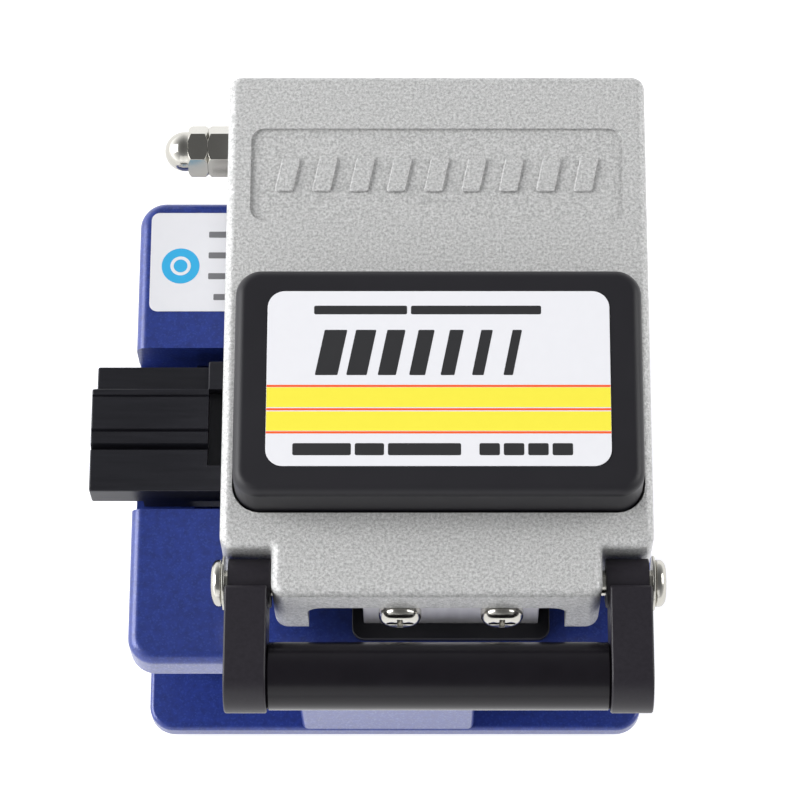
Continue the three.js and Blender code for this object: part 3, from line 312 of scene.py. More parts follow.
def block(name, x0, x1, y0, y1, z0, z1, r=SHARP, low=0.0, high=0.0, segments=6):
    """An upright block with round corners, and a round along its lower and upper edges."""
    return loft(name, rounded_rect(x0, x1, y0, y1, r), filleted(z0, z1, low, high), "Z", segments)


def slab(name, x0, x1, y0, y1, z0, z1):
    """A plain block, drawn along X."""
    return loft(name, rounded_rect(y0, y1, z0, z1, SHARP), [(0, x0), (0, x1)], "X")


def lathe(name, profile, axis, centre, segments=64):
    """A body of revolution about an axis through centre: the profile is [radius, distance along the axis]."""
    vertices = []
    faces = []
    cx, cy, cz = centre
    for radius, along in profile:
        for i in range(segments):
            angle = 2 * math.pi * i / segments
            u, v = radius * math.cos(angle), radius * math.sin(angle)
            x, y, z = place(axis, u, v, along)
            vertices.append((cx + x, cy + y, cz + z))
    for r in range(len(profile) - 1):
        for i in range(segments):
            j = (i + 1) % segments
            faces.append(
                (r * segments + i, r * segments + j, (r + 1) * segments + j, (r + 1) * segments + i)
            )
    faces.append(tuple(reversed(range(segments))))
    faces.append(tuple((len(profile) - 1) * segments + i for i in range(segments)))
    return from_faces(name, vertices, faces)


def applied(obj):
    """obj with its modifiers worked into its mesh."""
    bpy.context.view_layer.update()
    graph = bpy.context.evaluated_depsgraph_get()
    mesh = bpy.data.meshes.new_from_object(obj.evaluated_get(graph))
    old = obj.data
    obj.modifiers.clear()
    obj.data = mesh
    bpy.data.meshes.remove(old)
    return obj


def combined(obj, others, operation):
    """obj joined with, cut by or kept within each of the others, which are used up."""
    for other in others:
        modifier = obj.modifiers.new("join", "BOOLEAN")
        modifier.operation = operation
        modifier.solver = "EXACT"
        modifier.object = other
        applied(obj)
        bpy.data.objects.remove(other)
    return obj


def cut(obj, *cutters):
    return combined(obj, cutters, "DIFFERENCE")


def united(obj, *others):
    return combined(obj, others, "UNION")


def drilled(obj, r, low, high, axis, centre, segments=64):
    """obj with a round hole along an axis, from low to high."""
    return cut(obj, lathe("hole", [(r, low), (r, high)], axis, centre, segments))


def softened(obj, width, segments=3, angle=35.0):
    """Every edge sharper than angle gets a small round."""
    modifier = obj.modifiers.new("edge", "BEVEL")
    modifier.width = width
    modifier.segments = segments
    modifier.limit_method = "ANGLE"
    modifier.angle_limit = math.radians(angle)
    modifier.miter_outer = "MITER_ARC"
    modifier.use_clamp_overlap = True
    return applied(obj)


def smooth(obj, angle=32.0):
    """Smooth shading, split at edges sharper than angle."""
    mesh = obj.data
    work = bmesh.new()
    work.from_mesh(mesh)
    limit = math.radians(angle)
    for face in work.faces:
        face.smooth = True
    for edge in work.edges:
        edge.smooth = len(edge.link_faces) == 2 and edge.calc_face_angle(0.0) < limit
    work.to_mesh(mesh)
    work.free()


def finished(obj, body, material, replaced=(), weighted=True):
    """Scales a piece from millimetres, shades it, gives it its finish and rides it on its body."""
    obj.data.transform(Matrix.Scale(MM, 4))
    smooth(obj)
    if weighted:
        modifier = obj.modifiers.new("normals", "WEIGHTED_NORMAL")
        modifier.keep_sharp = True
        applied(obj)
    obj.data.materials.clear()
    obj.data.materials.append(material)
    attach(obj, body)
    if replaced:
        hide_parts(*replaced)
    return obj


def joined_mesh(name, objects):
    """Several closed bodies as one object."""
    work = bmesh.new()
    for obj in objects:
        work.from_mesh(obj.data)
        bpy.data.objects.remove(obj)
    mesh = bpy.data.meshes.new(name)
    work.to_mesh(mesh)
    work.free()
    return new_object(name, mesh)


# ---------------------------------------------------------------- shader maths


class Val:
    """A shader socket that takes part in Python expressions."""

    def __init__(self, tree, socket):
        self.tree = tree
        self.socket = socket

    def math(self, operation, *others, clamp=False):
        node = self.tree.nodes.new("ShaderNodeMath")
        node.operation = operation
        node.use_clamp = clamp
        for i, value in enumerate((self, *others)):
            feed(self.tree, node.inputs[i], value)
        return Val(self.tree, node.outputs[0])

    def __add__(self, other):
        return self.math("ADD", other)

    __radd__ = __add__

    def __mul__(self, other):
        return self.math("MULTIPLY", other)

    __rmul__ = __mul__

    def __sub__(self, other):
        return self.math("SUBTRACT", other)

    def __rsub__(self, other):
        return (self * -1.0) + other

    def __pow__(self, other):
        return self.math("POWER", other)

    def clipped(self):
        return self.math("MAXIMUM", 0.0).math("MINIMUM", 1.0)

    def over(self, edge, width):
        """0 below edge and 1 above it, across a soft width."""
        return ((self - edge) * (1.0 / width) + 0.5).clipped()


def feed(tree, socket, value):
    """Links a Val to a socket, or sets the socket's own value. A colour may be given without its alpha."""
    if isinstance(value, Val):
        tree.links.new(value.socket, socket)
    elif socket.type == "RGBA" and len(value) == 3:
        socket.default_value = (*value, 1.0)
    else:
        socket.default_value = value


def socket_named(node, key):
    """A node's input by its identifier or its name, with _ for each space."""
    found = {s.name.replace(" ", "_"): s for s in node.inputs}
    found.update({s.identifier.replace(" ", "_"): s for s in node.inputs})
    return found[key]


class Nodes:
    """A node tree: node() adds any node."""

    def __init__(self, tree):
        self.tree = tree

    def node(self, kind, settings=None, out=0, **inputs):
        made = self.tree.nodes.new("ShaderNode" + kind)
        for key, value in (settings or {}).items():
            setattr(made, key, value)
        for key, value in inputs.items():
            feed(self.tree, socket_named(made, key), value)
        return Val(self.tree, made.outputs[out])

    def place(self):
        return self.node("TexCoord", out=3)

    def noise(self, scale, detail=2.0, rough=0.5, at=None):
        return self.node("TexNoise", Vector=at or self.place(), Scale=scale, Detail=detail, Roughness=rough)

    def cells(self, scale, out=0, feature="F1", at=None):
        settings = {"feature": feature}
        return self.node("TexVoronoi", settings, out, Vector=at or self.place(), Scale=scale)

    def mix(self, factor, first, second):
        settings = {"data_type": "RGBA"}
        return self.node("Mix", settings, 2, Factor_Float=factor, A_Color=first, B_Color=second)


class Finish(Nodes):
    """A node material on one Principled shader."""

    def __init__(self, name):
        self.material = bpy.data.materials.new(name)
        self.material.use_nodes = True
        super().__init__(self.material.node_tree)
        self.shader = self.tree.nodes["Principled BSDF"]

    def set(self, **inputs):
        for key, value in inputs.items():
            feed(self.tree, socket_named(self.shader, key), value)
        return self

    def bump(self, height, strength, distance):
        normal = self.node("Bump", Strength=strength, Distance=distance * MM, Height=height)
        feed(self.tree, self.shader.inputs["Normal"], normal)
        return self


def shade(rgb, factor):
    """A colour made darker or lighter."""
    return tuple(min(1.0, c * factor) for c in rgb)


MATERIALS = {}


def material(name):
    """The finish of that name, made when it is first asked for."""
    if name not in MATERIALS:
        MATERIALS[name] = MAKERS[name]().material
    return MATERIALS[name]


def silver_paint():
    made = Finish("silver_paint")
    base = tuple(settings("lid").paint)
    grain = made.noise(3000.0, 4.0, 0.8)
    tone = ((grain - 0.5) * 4.6 + 0.5).clipped()
    flakes = made.node("SeparateColor", Color=made.cells(5200.0, out=1))
    sparkle = flakes.over(0.84, 0.06)
    grey = made.mix(tone, shade(base, 0.68), shade(base, 1.26))
    made.set(Base_Color=made.mix(sparkle * 0.18, grey, shade(base, 1.6)))
    made.set(Metallic=sparkle * 0.15 + 0.2, Roughness=0.50 - sparkle * 0.15)
    made.set(Coat_Weight=0.45, Coat_Roughness=0.2)
    return made.bump(grain, 0.6, 0.16)


def blue_paint():
    made = Finish("blue_paint")
    base = tuple(settings("body").paint)
    flakes = made.cells(5200.0, out=1)
    sparkle = made.node("SeparateColor", Color=flakes).over(0.84, 0.08)
    peel = made.noise(700.0, 2.0, 0.5)
    cloud = made.noise(1100.0, 3.0, 0.7)
    tone = made.mix(((cloud - 0.5) * 3.0 + 0.5).clipped(), shade(base, 0.82), shade(base, 1.18))
    made.set(Base_Color=made.mix(sparkle * 0.15, tone, (0.08, 0.14, 0.48)))
    made.set(Metallic=0.15, Roughness=0.42 - sparkle * 0.08, Coat_Weight=0.5, Coat_Roughness=0.16)
    return made.bump(peel, 0.25, 0.03)


def black_plastic():
    made = Finish("black_plastic")
    base = tuple(settings("trim").plastic)
    grain = made.noise(3800.0, 2.0, 0.6)
    wear = made.noise(60.0, 3.0, 0.6)
    made.set(Base_Color=made.mix(wear, base, shade(base, 1.5)))
    made.set(Roughness=0.40 + wear * 0.14, Specular_IOR_Level=0.4)
    return made.bump(grain, 0.25, 0.03)


def black_gloss():
    made = Finish("black_gloss")
    base = tuple(settings("trim").gloss)
    drawn = made.noise(420.0, 2.0, 0.5)
    made.set(Base_Color=made.mix(drawn, base, shade(base, 1.6)))
    made.set(Roughness=0.22 + drawn * 0.06, Specular_IOR_Level=0.3)
    return made.bump(drawn, 0.1, 0.01)


def black_satin():
    made = Finish("black_satin")
    base = tuple(settings("trim").gloss)
    grain = made.noise(2500.0, 2.0, 0.5)
    made.set(Base_Color=made.mix(grain, shade(base, 1.8), shade(base, 3.4)))
    made.set(Roughness=0.36 + grain * 0.12, Specular_IOR_Level=0.4)
    return made.bump(grain, 0.15, 0.02)


def black_anodised():
    made = Finish("black_anodised")
    base = tuple(settings("trim").anodised)
    stretch = made.node("Mapping", Vector=made.place(), Scale=(0.06, 1.0, 1.0))
    lines = made.noise(2600.0, 2.0, 0.5, at=stretch)
    made.set(Base_Color=made.mix(lines, shade(base, 0.75), shade(base, 1.35)))
    made.set(Metallic=0.25, Roughness=0.34 + lines * 0.14)
    return made.bump(lines, 0.12, 0.02)


def film(name, rgb, rough=0.42):
    def make():
        made = Finish(name)
        fibre = made.noise(900.0, 3.0, 0.5)
        made.set(Base_Color=made.mix(fibre, shade(rgb, 0.97), rgb))
        made.set(Roughness=rough + fibre * 0.08, Coat_Weight=0.2, Coat_Roughness=0.25)
        return made.bump(fibre, 0.06, 0.01)

    return make


def metal(name, rgb, rough, grain, streak=(1.0, 1.0, 1.0)):
    def make():
        made = Finish(name)
        stretch = made.node("Mapping", Vector=made.place(), Scale=streak)
        lines = made.noise(grain, 3.0, 0.55, at=stretch)
        made.set(Base_Color=made.mix(lines, shade(rgb, 0.86), rgb))
        made.set(Metallic=1.0, Roughness=rough + lines * 0.10)
        return made.bump(lines, 0.1, 0.01)

    return make


def rubber():
    made = Finish("rubber")
    grain = made.noise(1500.0, 4.0, 0.6)
    made.set(Base_Color=made.mix(grain, (0.012, 0.012, 0.013), (0.03, 0.03, 0.031)))
    made.set(Roughness=0.75 + grain * 0.15)
    return made.bump(grain, 0.4, 0.05)


def trim_film(name, rough=0.42):
    return lambda: film(name, tuple(getattr(settings("trim"), name)), rough)()


MAKERS = {
    "silver_paint": silver_paint,
    "blue_paint": blue_paint,
    "black_plastic": black_plastic,
    "black_gloss": black_gloss,
    "black_satin": black_satin,
    "black_anodised": black_anodised,
    "label": trim_film("label"),
    "band": trim_film("band"),
    "line": trim_film("line"),
    "ink": trim_film("ink", 0.5),
    "grey_ink": trim_film("grey_ink", 0.5),
    "disc": trim_film("disc"),
    "chrome": metal("chrome", (0.54, 0.525, 0.48), 0.11, 300.0),
    "steel": metal("steel", (0.55, 0.55, 0.57), 0.26, 2200.0, (1.0, 0.08, 1.0)),
    "spring_steel": metal("spring_steel", (0.42, 0.41, 0.40), 0.28, 3000.0),
    "tongue_steel": metal("tongue_steel", (0.70, 0.69, 0.72), 0.34, 1800.0, (1.0, 1.0, 0.08)),
    "brass": metal("brass", (0.62, 0.44, 0.15), 0.24, 1500.0),
    "carbide": metal("carbide", (0.36, 0.37, 0.39), 0.16, 2600.0),
    "rubber": rubber,
}


# ---------------------------------------------------------------- operators


class Builder:
    """What the operators share."""

    bl_options = {"REGISTER"}

    def execute(self, context):
        self.build()
        return {"FINISHED"}


FLOOR_HALF = 3.0  # metres, from the floor's middle to its edges
AIM = Vector((0.0, 0.0, 0.03))  # metres, where the lamps point
NOTCH_SPAN = 23.7  # mm, from the lid's front to the point the camera looks at
LAMPS = (  # name, place in metres, size in metres, power in watts
    ("key", (-1.15, 0.10, 0.75), 0.9, 19.0),
    ("fill", (1.10, 0.20, 0.75), 0.9, 9.0),
    ("front", (-0.2, -1.20, 0.55), 0.8, 1.5),
)


class CLEAVER_OT_stage(Builder, bpy.types.Operator):
    """Add the floor, the lights and the camera"""

    bl_idname = "cleaver.stage"
    bl_label = "Stage"

    def build(self):
        own = settings("stage")
        self.floor(own)
        self.sky(own)
        for lamp in LAMPS:
            self.light(*lamp)
        self.camera(own)

    def floor(self, own):
        h = FLOOR_HALF
        floor = from_faces("studio_floor", [(-h, -h, 0), (h, -h, 0), (h, h, 0), (-h, h, 0)], [(0, 1, 2, 3)])
        finish = Finish("floor")
        tone = tuple(own.floor)
        finish.set(Base_Color=finish.mix(finish.noise(6.0), shade(tone, 0.995), tone), Roughness=0.9)
        finish.set(Specular_IOR_Level=0.0, Emission_Color=(1.0, 1.0, 1.0, 1.0), Emission_Strength=own.glow)
        floor.data.materials.append(finish.material)

    def sky(self, own):
        """Soft light that is bright near the horizon, brighter still on the left, and dim overhead."""
        world = bpy.data.worlds.new("studio")
        world.use_nodes = True
        sky = Nodes(world.node_tree)
        way = sky.node("TexCoord")
        across = sky.node("SeparateXYZ", Vector=way)
        height = sky.node("SeparateXYZ", out=2, Vector=way).math("ABSOLUTE")
        low = (1.0 - height) ** 1.6
        strength = (low * ((across * -1.0).clipped() * 3.0 + 1.0) + 0.24) * own.sky
        background = world.node_tree.nodes["Background"]
        background.inputs["Color"].default_value = (0.97, 0.98, 1.0, 1.0)
        feed(world.node_tree, background.inputs["Strength"], strength)
        bpy.context.scene.world = world
        bpy.context.scene.view_settings.view_transform = "Standard"

    def camera(self, own):
        lid = Box("lid_shell")
        camera = bpy.data.cameras.new("camera")
        camera.lens = own.lens
        camera.sensor_width = 36.0
        camera.shift_x = own.shift
        camera.clip_start = 0.01
        holder = bpy.data.objects.new("camera", camera)
        bpy.context.scene.collection.objects.link(holder)
        target = Vector((lid.x, lid.y0 + NOTCH_SPAN, lid.z1)) * MM
        way = Vector((0.0, -math.cos(own.elevation), math.sin(own.elevation)))
        holder.location = target + way * own.distance * MM
        holder.rotation_euler = (-way).to_track_quat("-Z", "Y").to_euler()
        bpy.context.scene.camera = holder

    def light(self, name, where, size, power):
        lamp = bpy.data.lights.new(name, "AREA")
        lamp.size = size
        lamp.energy = power
        holder = bpy.data.objects.new(name, lamp)
        bpy.context.scene.collection.objects.link(holder)
        holder.location = where
        holder.rotation_euler = (AIM - Vector(where)).to_track_quat("-Z", "Y").to_euler()


NOTCH_R = 0.3  # mm, the notches' inner corners


def lid_path():
    """The lid's outline from above, with a notch at each front corner."""
    own = settings("lid")
    lid = Box("lid_shell")
    r = own.corner
    back = lid.y0 + own.notch_depth
    left = lid.x0 + own.notch_width
    right = lid.x1 - own.notch_width
    return [
        (lid.x0, back, r),
        (left, back, NOTCH_R),
        (left, lid.y0, r),
        (right, lid.y0, r),
        (right, back, NOTCH_R),
        (lid.x1, back, r),
        (lid.x1, lid.y1, r),
        (lid.x0, lid.y1, r),
    ]


BACK_EDGE = 6.5  # mm, height of the lid's back wall
TUB_MARGIN = 1.8  # mm, from the press cap to its tub's outer sides
CAP_GAP = 0.3  # mm, between the press cap and its pocket
CAP_R = 3.0  # mm, the press cap's corners in plan
PANEL_W = 44.4
PANEL_D = 11.9
PANEL_INSET = 7.1  # mm, from the lid's back
PANEL_R = 1.6
ARCH_R = 1.9
LID_SOFT = 0.22
RIB_W = 2.2
RIB_L = 4.4
RIB_LEAN = 0.9
RIB_R = 0.35
RIB_EDGE = 0.14
RIB_BELOW = 0.02  # mm, the ribs' tops below the lid's


class CLEAVER_OT_lid(Builder, bpy.types.Operator):
    """Build the silver lid, with its panel, notches, arch, ears and inner tub"""

    bl_idname = "cleaver.lid"
    bl_label = "Lid"

    def build(self):
        own = settings("lid")
        lid = Box("lid_shell")
        skirt = lid.z1 - own.skirt
        shell = loft("lid", lid_path(), filleted(lid.z0, lid.z1, 0, own.edge), segments=10)
        self.hollow(shell, own, lid, skirt)
        self.tub(shell, own, lid)
        self.front(shell, own, lid, skirt)
        for name in ("left", "right", "anvil"):
            bush = Box("press_bush_" + name)
            drilled(shell, bush.w / 2 + SEAT, bush.z0 - PAST, bush.z1 + PAST, "Z", (bush.x, bush.y, 0))
        pin = Box("hinge_pin")
        drilled(shell, pin.h / 2 + SEAT, lid.x0 - PAST, pin.x1, "X", (0, pin.y, pin.z))
        tongue = Box("catch_tongue")
        screw = Box("catch_screw_1")
        boss_top = lid.z1 - own.roof + 0.4
        boss = block("boss", tongue.x0, tongue.x1, tongue.y1 + SEAT, screw.y1 + 1, screw.z0, boss_top)
        united(shell, boss)
        softened(shell, LID_SOFT, 2)
        finished(shell, "lid", material("silver_paint"), ["lid_shell"])
        self.ribs(own, lid)

    def hollow(self, shell, own, lid, skirt):
        """Takes out the inside, and leaves round ears on the hinge's axis."""
        hinge = joint_place("lid_hinge")
        ear = hinge.z - lid.z0
        front_of_ear = hinge.y - ear
        low = lid.z0 - PAST
        back_edge = lid.z1 - BACK_EDGE
        x0, x1 = lid.x0 - PAST, lid.x1 + PAST
        inner = loft("inner", offset_path(lid_path(), own.wall), [(0, low), (0, lid.z1 - own.roof)])
        below = block("below", x0, x1, lid.y0 - PAST, front_of_ear, low, skirt)
        corner = slab("corner", x0, x1, hinge.y + ear, lid.y1 + PAST, low, back_edge)
        way = block("way", lid.x0 + own.wall, lid.x1 - own.wall, front_of_ear, lid.y1 + PAST, low, back_edge)
        cut(shell, inner, below, corner, way)
        rounding = slab("rounding", x0, x1, front_of_ear - PAST, hinge.y + ear + PAST, low, hinge.z)
        x0, x1 = lid.x0 - 2 * PAST, lid.x1 + 2 * PAST
        barrel = lathe("barrel", [(ear, x0), (ear, x1)], "X", (0, hinge.y, hinge.z), 72)
        keep = block("keep", x0, x1, front_of_ear - 2 * PAST, front_of_ear, skirt, hinge.z + PAST)
        cut(shell, cut(rounding, barrel, keep))

    def tub(self, shell, own, lid):
        """Adds the tub that the press cap sits in, and opens its pocket."""
        cap = Box("press_cap")
        floor = Box("press_bush_left")
        x0, x1 = lid.x0 + own.wall / 2, lid.x1 - own.wall / 2
        y0, y1 = cap.y0 - TUB_MARGIN, cap.y1 + TUB_MARGIN
        united(shell, block("tub", x0, x1, y0, y1, floor.z0, lid.z1 - own.roof + 0.5))
        x0, x1 = cap.x0 - CAP_GAP, cap.x1 + CAP_GAP
        y0, y1 = cap.y0 - CAP_GAP, cap.y1 + CAP_GAP
        cut(shell, block("pocket", x0, x1, y0, y1, floor.z1, lid.z1 + PAST, CAP_R + CAP_GAP))

    def front(self, shell, own, lid, skirt):
        """Sinks the panel, arches the front lip and cuts the catch tongue's slot."""
        x0, x1, y0, y1 = self.panel(lid)
        panel = block("panel", x0, x1, y0, y1, lid.z1 - own.panel_depth, lid.z1 + PAST, PANEL_R, segments=10)
        left = lid.x0 + own.notch_width + own.foot
        right = lid.x1 - own.notch_width - own.foot
        path = [
            (skirt - PAST, right, SHARP),
            (lid.z1 - own.arch, right, ARCH_R),
            (lid.z1 - own.arch, left, ARCH_R),
            (skirt - PAST, left, SHARP),
        ]
        arch = loft("arch", path, [(0, lid.y0 - PAST), (0, lid.y0 + own.wall + PAST)], "Y")
        tongue = Box("catch_tongue")
        x0, x1 = tongue.x0 - SEAT, tongue.x1 + SEAT
        y0, y1 = tongue.y0 - SEAT, tongue.y1 + SEAT
        cut(shell, panel, arch, block("slot", x0, x1, y0, y1, skirt - PAST, tongue.z1 + SEAT))

    def panel(self, lid):
        back = lid.y1 - PANEL_INSET
        return lid.x - PANEL_W / 2, lid.x + PANEL_W / 2, back - PANEL_D, back

    def ribs(self, own, lid):
        """Slanted raised ribs in the panel."""
        x0, x1, y0, y1 = self.panel(lid)
        pitch = (x1 - x0 - RIB_L) / own.ribs
        y = (y0 + y1) / 2
        low = lid.z1 - own.panel_depth + 0.005
        made = []
        for i in range(own.ribs):
            x = (x0 + x1) / 2 + (i - (own.ribs - 1) / 2) * pitch
            path = [
                (x - RIB_W / 2 - RIB_LEAN / 2, y - RIB_L / 2, RIB_R),
                (x + RIB_W / 2 - RIB_LEAN / 2, y - RIB_L / 2, RIB_R),
                (x + RIB_W / 2 + RIB_LEAN / 2, y + RIB_L / 2, RIB_R),
                (x - RIB_W / 2 + RIB_LEAN / 2, y + RIB_L / 2, RIB_R),
            ]
            made.append(loft("rib", path, filleted(low, lid.z1 - RIB_BELOW, 0, RIB_EDGE, 4)))
        finished(joined_mesh("lid_ribs", made), "lid", material("silver_paint"))


CAP_EDGE = 1.2
SPRING_WELL_R = 3.4
LABEL_R = 2.0
PRINT_INSET = 0.02  # mm, the bands' ends from the label's edges
LINE_HALF = 0.13
WORD_GAP = 0.45
BANDS = ((0.555, 0.668), (0.692, 0.802))  # shares of the label's depth, from its back edge
LINES = (0.547, 0.680, 0.811)
BAR_ROWS = (  # from and to down the label, from and to across it, then each bar's share of the row
    (0.085, 0.135, 0.136, 0.80, (5, 7)),
    (0.872, 0.940, 0.078, 0.565, (4, 2, 5)),
    (0.872, 0.940, 0.618, 0.888, (1, 1, 1, 1)),
)
STRIPES = 7
STRIPE_ROWS = (0.225, 0.485)
STRIPE_SPAN = (0.14, 0.78)
STRIPE_LEAN = 1.1
STRIPE_R = 0.12


class CLEAVER_OT_cap(Builder, bpy.types.Operator):
    """Build the black press cap, and its label with printed bands and bars"""

    bl_idname = "cleaver.cap"
    bl_label = "Press cap"

    def build(self):
        cap = Box("press_cap")
        path = rounded_rect(cap.x0, cap.x1, cap.y0, cap.y1, CAP_R)
        body = loft("cap", path, filleted(cap.z0, cap.z1, 0.2, CAP_EDGE, 8), segments=12)
        for name in ("left", "right", "anvil"):
            spring = Box("press_spring_" + name)
            drilled(body, SPRING_WELL_R, cap.z0 - PAST, spring.z1, "Z", (spring.x, spring.y, 0), 40)
        finished(body, "press", material("black_plastic"), ["press_cap"])
        label = Box("press_label")
        film_top = label.z1 - PRINT_ROOM
        sides = (label.x0, label.x1, label.y0, label.y1)
        film_body = block("label", *sides, label.z0, film_top, LABEL_R, 0, 0.03, 10)
        finished(film_body, "press", material("label"), ["press_label"])
        self.print_on(label, film_top + PRINT_LIFT)

    def print_on(self, label, top):
        """Prints the bands, the lines, and bars and slanted stripes."""

        def bar(x0, x1, y0, y1, r=0.02):
            return block("bar", x0, x1, y0, y1, top, top + PRINT_T, r, segments=3)

        def down(share):
            return label.y1 - share * label.d

        x0, x1 = label.x0 + PRINT_INSET, label.x1 - PRINT_INSET
        bands = [bar(x0, x1, down(b), down(a)) for a, b in BANDS]
        finished(joined_mesh("label_bands", bands), "press", material("band"))
        lines = [bar(x0, x1, down(t) - LINE_HALF, down(t) + LINE_HALF) for t in LINES]
        finished(joined_mesh("label_lines", lines), "press", material("line"))
        ink = []
        for y0, y1, x0, x1, words in BAR_ROWS:
            span = (x1 - x0) * label.w - WORD_GAP * (len(words) - 1)
            x = label.x0 + x0 * label.w
            for word in words:
                wide = span * word / sum(words)
                ink.append(bar(x, x + wide, down(y1), down(y0), 0.2))
                x += wide + WORD_GAP
        high_y, low_y = (down(share) for share in STRIPE_ROWS)
        x0, x1 = (label.x0 + share * label.w for share in STRIPE_SPAN)
        pitch = (x1 - x0) / STRIPES
        for i in range(STRIPES):
            x = x0 + i * pitch
            right = x + pitch * (0.72 - 0.07 * i)
            path = [
                (x, low_y, STRIPE_R),
                (right, low_y, STRIPE_R),
                (right + STRIPE_LEAN, high_y, STRIPE_R),
                (x + STRIPE_LEAN, high_y, STRIPE_R),
            ]
            ink.append(loft("stripe", path, [(0, top), (0, top + PRINT_T)], "Z", 3))
        finished(joined_mesh("label_bars", ink), "press", material("ink"))


ARM_STEP = 1.3  # mm, from the pivot to where the arm's outline ends
ARM_HALF = 3.9
ARM_EDGE = 0.25
HUB_R = 2.85
HUB_BEVEL = 0.1
HUB_INWARD = {"left": 0.35, "right": -0.35}  # mm, the hubs' inner faces from the arms' own


class CLEAVER_OT_bail(Builder, bpy.types.Operator):
    """Build the bail's two arms and its bar"""

    bl_idname = "cleaver.bail"
    bl_label = "Bail"

    def build(self):
        for side in ("left", "right"):
            self.arm(side)
        bar = Box("bail_bar")
        r = bar.h / 2
        e = ARM_EDGE
        profile = [(r - e, bar.x0), (r, bar.x0 + e), (r, bar.x1 - e), (r - e, bar.x1)]
        round_bar = lathe("bail_bar_piece", profile, "X", (0, bar.y, bar.z), 96)
        finished(round_bar, "bail", material("black_gloss"), ["bail_bar"])

    def arm(self, side):
        pivot = joint_place("bail_pivot")
        name = "bail_arm_" + side
        arm = Box(name)
        big = arm.h / 2
        path = [
            (arm.y0, pivot.z - big, big * 0.98),
            (pivot.y - ARM_STEP, pivot.z - ARM_HALF, 0.5),
            (pivot.y - ARM_STEP, pivot.z + ARM_HALF, 0.5),
            (arm.y0, pivot.z + big, big * 0.98),
        ]
        body = loft("arm", path, filleted(arm.x0, arm.x1, ARM_EDGE, ARM_EDGE, 4), "X", 16)
        body.name = name + "_piece"
        inward = HUB_INWARD[side]
        if side == "left":
            h0, h1 = arm.x0 + ARM_EDGE, arm.x1 + inward
        else:
            h0, h1 = arm.x0 + inward, arm.x1 - ARM_EDGE
        b = HUB_BEVEL
        profile = [(HUB_R - b, h0), (HUB_R, h0 + b), (HUB_R, h1 - b), (HUB_R - b, h1)]
        centre = (0, pivot.y, pivot.z)
        united(body, lathe("hub", profile, "X", centre, 48))
        drilled(body, BORE_R, arm.x0 - PAST, arm.x1 + PAST, "X", centre, 32)
        finished(body, "bail", material("black_satin"), [name])


CATCH_HEAD_T = 1.8
CATCH_SHANK_R = 1.2
CATCH_SHANK_L = 3.9
BAIL_HEAD_T = 1.3
BAIL_SHANK_R = 1.5
WASHER_EDGE = 0.06


def pan_head(name, r, t, shank_r, shank_l, axis, sign, centre):
    """A pan head screw with a cross recess. Its head points along sign times the axis."""
    profile = [(shank_r, -shank_l), (shank_r, 0.0), (r * 0.93, 0.0), (r, t * 0.12)]
    for k in range(9):
        a = math.pi / 2 * k / 8
        profile.append((r * (0.60 + 0.40 * math.cos(a)), t * (0.38 + 0.62 * math.sin(a))))
    profile.append((r * 0.25, t))
    points = [(radius, sign * along) for radius, along in profile]
    body = lathe(name, points, axis, centre, 48)
    arm, half, depth = r * 0.62, r * 0.13, t * 0.75
    base = {"X": 0, "Y": 1, "Z": 2}[axis]
    across = [i for i in range(3) if i != base]
    wings = []
    for turn in (0, 1):
        size = [0, 0, 0]
        size[base] = 2 * depth
        size[across[turn]] = 2 * arm
        size[across[1 - turn]] = 2 * half
        middle = list(centre)
        middle[base] += sign * t
        corners = [(middle[i] - size[i] / 2, middle[i] + size[i] / 2) for i in range(3)]
        wings.append(block("wing", *corners[0], *corners[1], *corners[2]))
    cut(body, *wings)
    return softened(body, 0.07, 2, 40)


class CLEAVER_OT_screws(Builder, bpy.types.Operator):
    """Build the pan head screws and their washers"""

    bl_idname = "cleaver.screws"
    bl_label = "Screws"

    def build(self):
        for i in (1, 2):
            node = "catch_screw_%d" % i
            own = Box(node)
            centre = (own.x, own.y0 + CATCH_HEAD_T, own.z)
            sizes = (own.h / 2, CATCH_HEAD_T, CATCH_SHANK_R, CATCH_SHANK_L)
            screw = pan_head(node + "_piece", *sizes, "Y", -1, centre)
            finished(screw, "lid", material("chrome"), [node])
        for side, sign in (("left", -1), ("right", 1)):
            self.bail_screw("bail_screw_" + side, sign)
            self.washer("bail_washer_" + side)

    def bail_screw(self, node, sign):
        own = Box(node)
        outer, inner = (own.x0, own.x1) if sign < 0 else (own.x1, own.x0)
        under = outer - sign * BAIL_HEAD_T
        sizes = (own.h / 2, BAIL_HEAD_T, BAIL_SHANK_R, abs(inner - under) - 0.1)
        screw = pan_head(node + "_piece", *sizes, "X", sign, (under, own.y, own.z))
        finished(screw, "lid", material("chrome"), [node])

    def washer(self, node):
        ring = Box(node)
        r = ring.h / 2
        e = WASHER_EDGE
        profile = [(r - e, ring.x0), (r, ring.x0 + e), (r, ring.x1 - e), (r - e, ring.x1)]
        centre = (0, ring.y, ring.z)
        disc = lathe(node + "_piece", profile, "X", centre, 64)
        drilled(disc, BORE_R, ring.x0 - PAST, ring.x1 + PAST, "X", centre, 48)
        finished(disc, "lid", material("chrome"), [node])


NUT_FLATS = 5.6
NUT_TURN = 0.2  # radians, how the nuts stand once they are tight
NUT_CORNER = 0.12
NUT_FACE_IN = 0.36  # mm, the chamfers' ends inside the hexagon's corners
NUT_CHAMFER = 0.42
ACORN_HEX_T = 2.4
DOME_R = 2.45


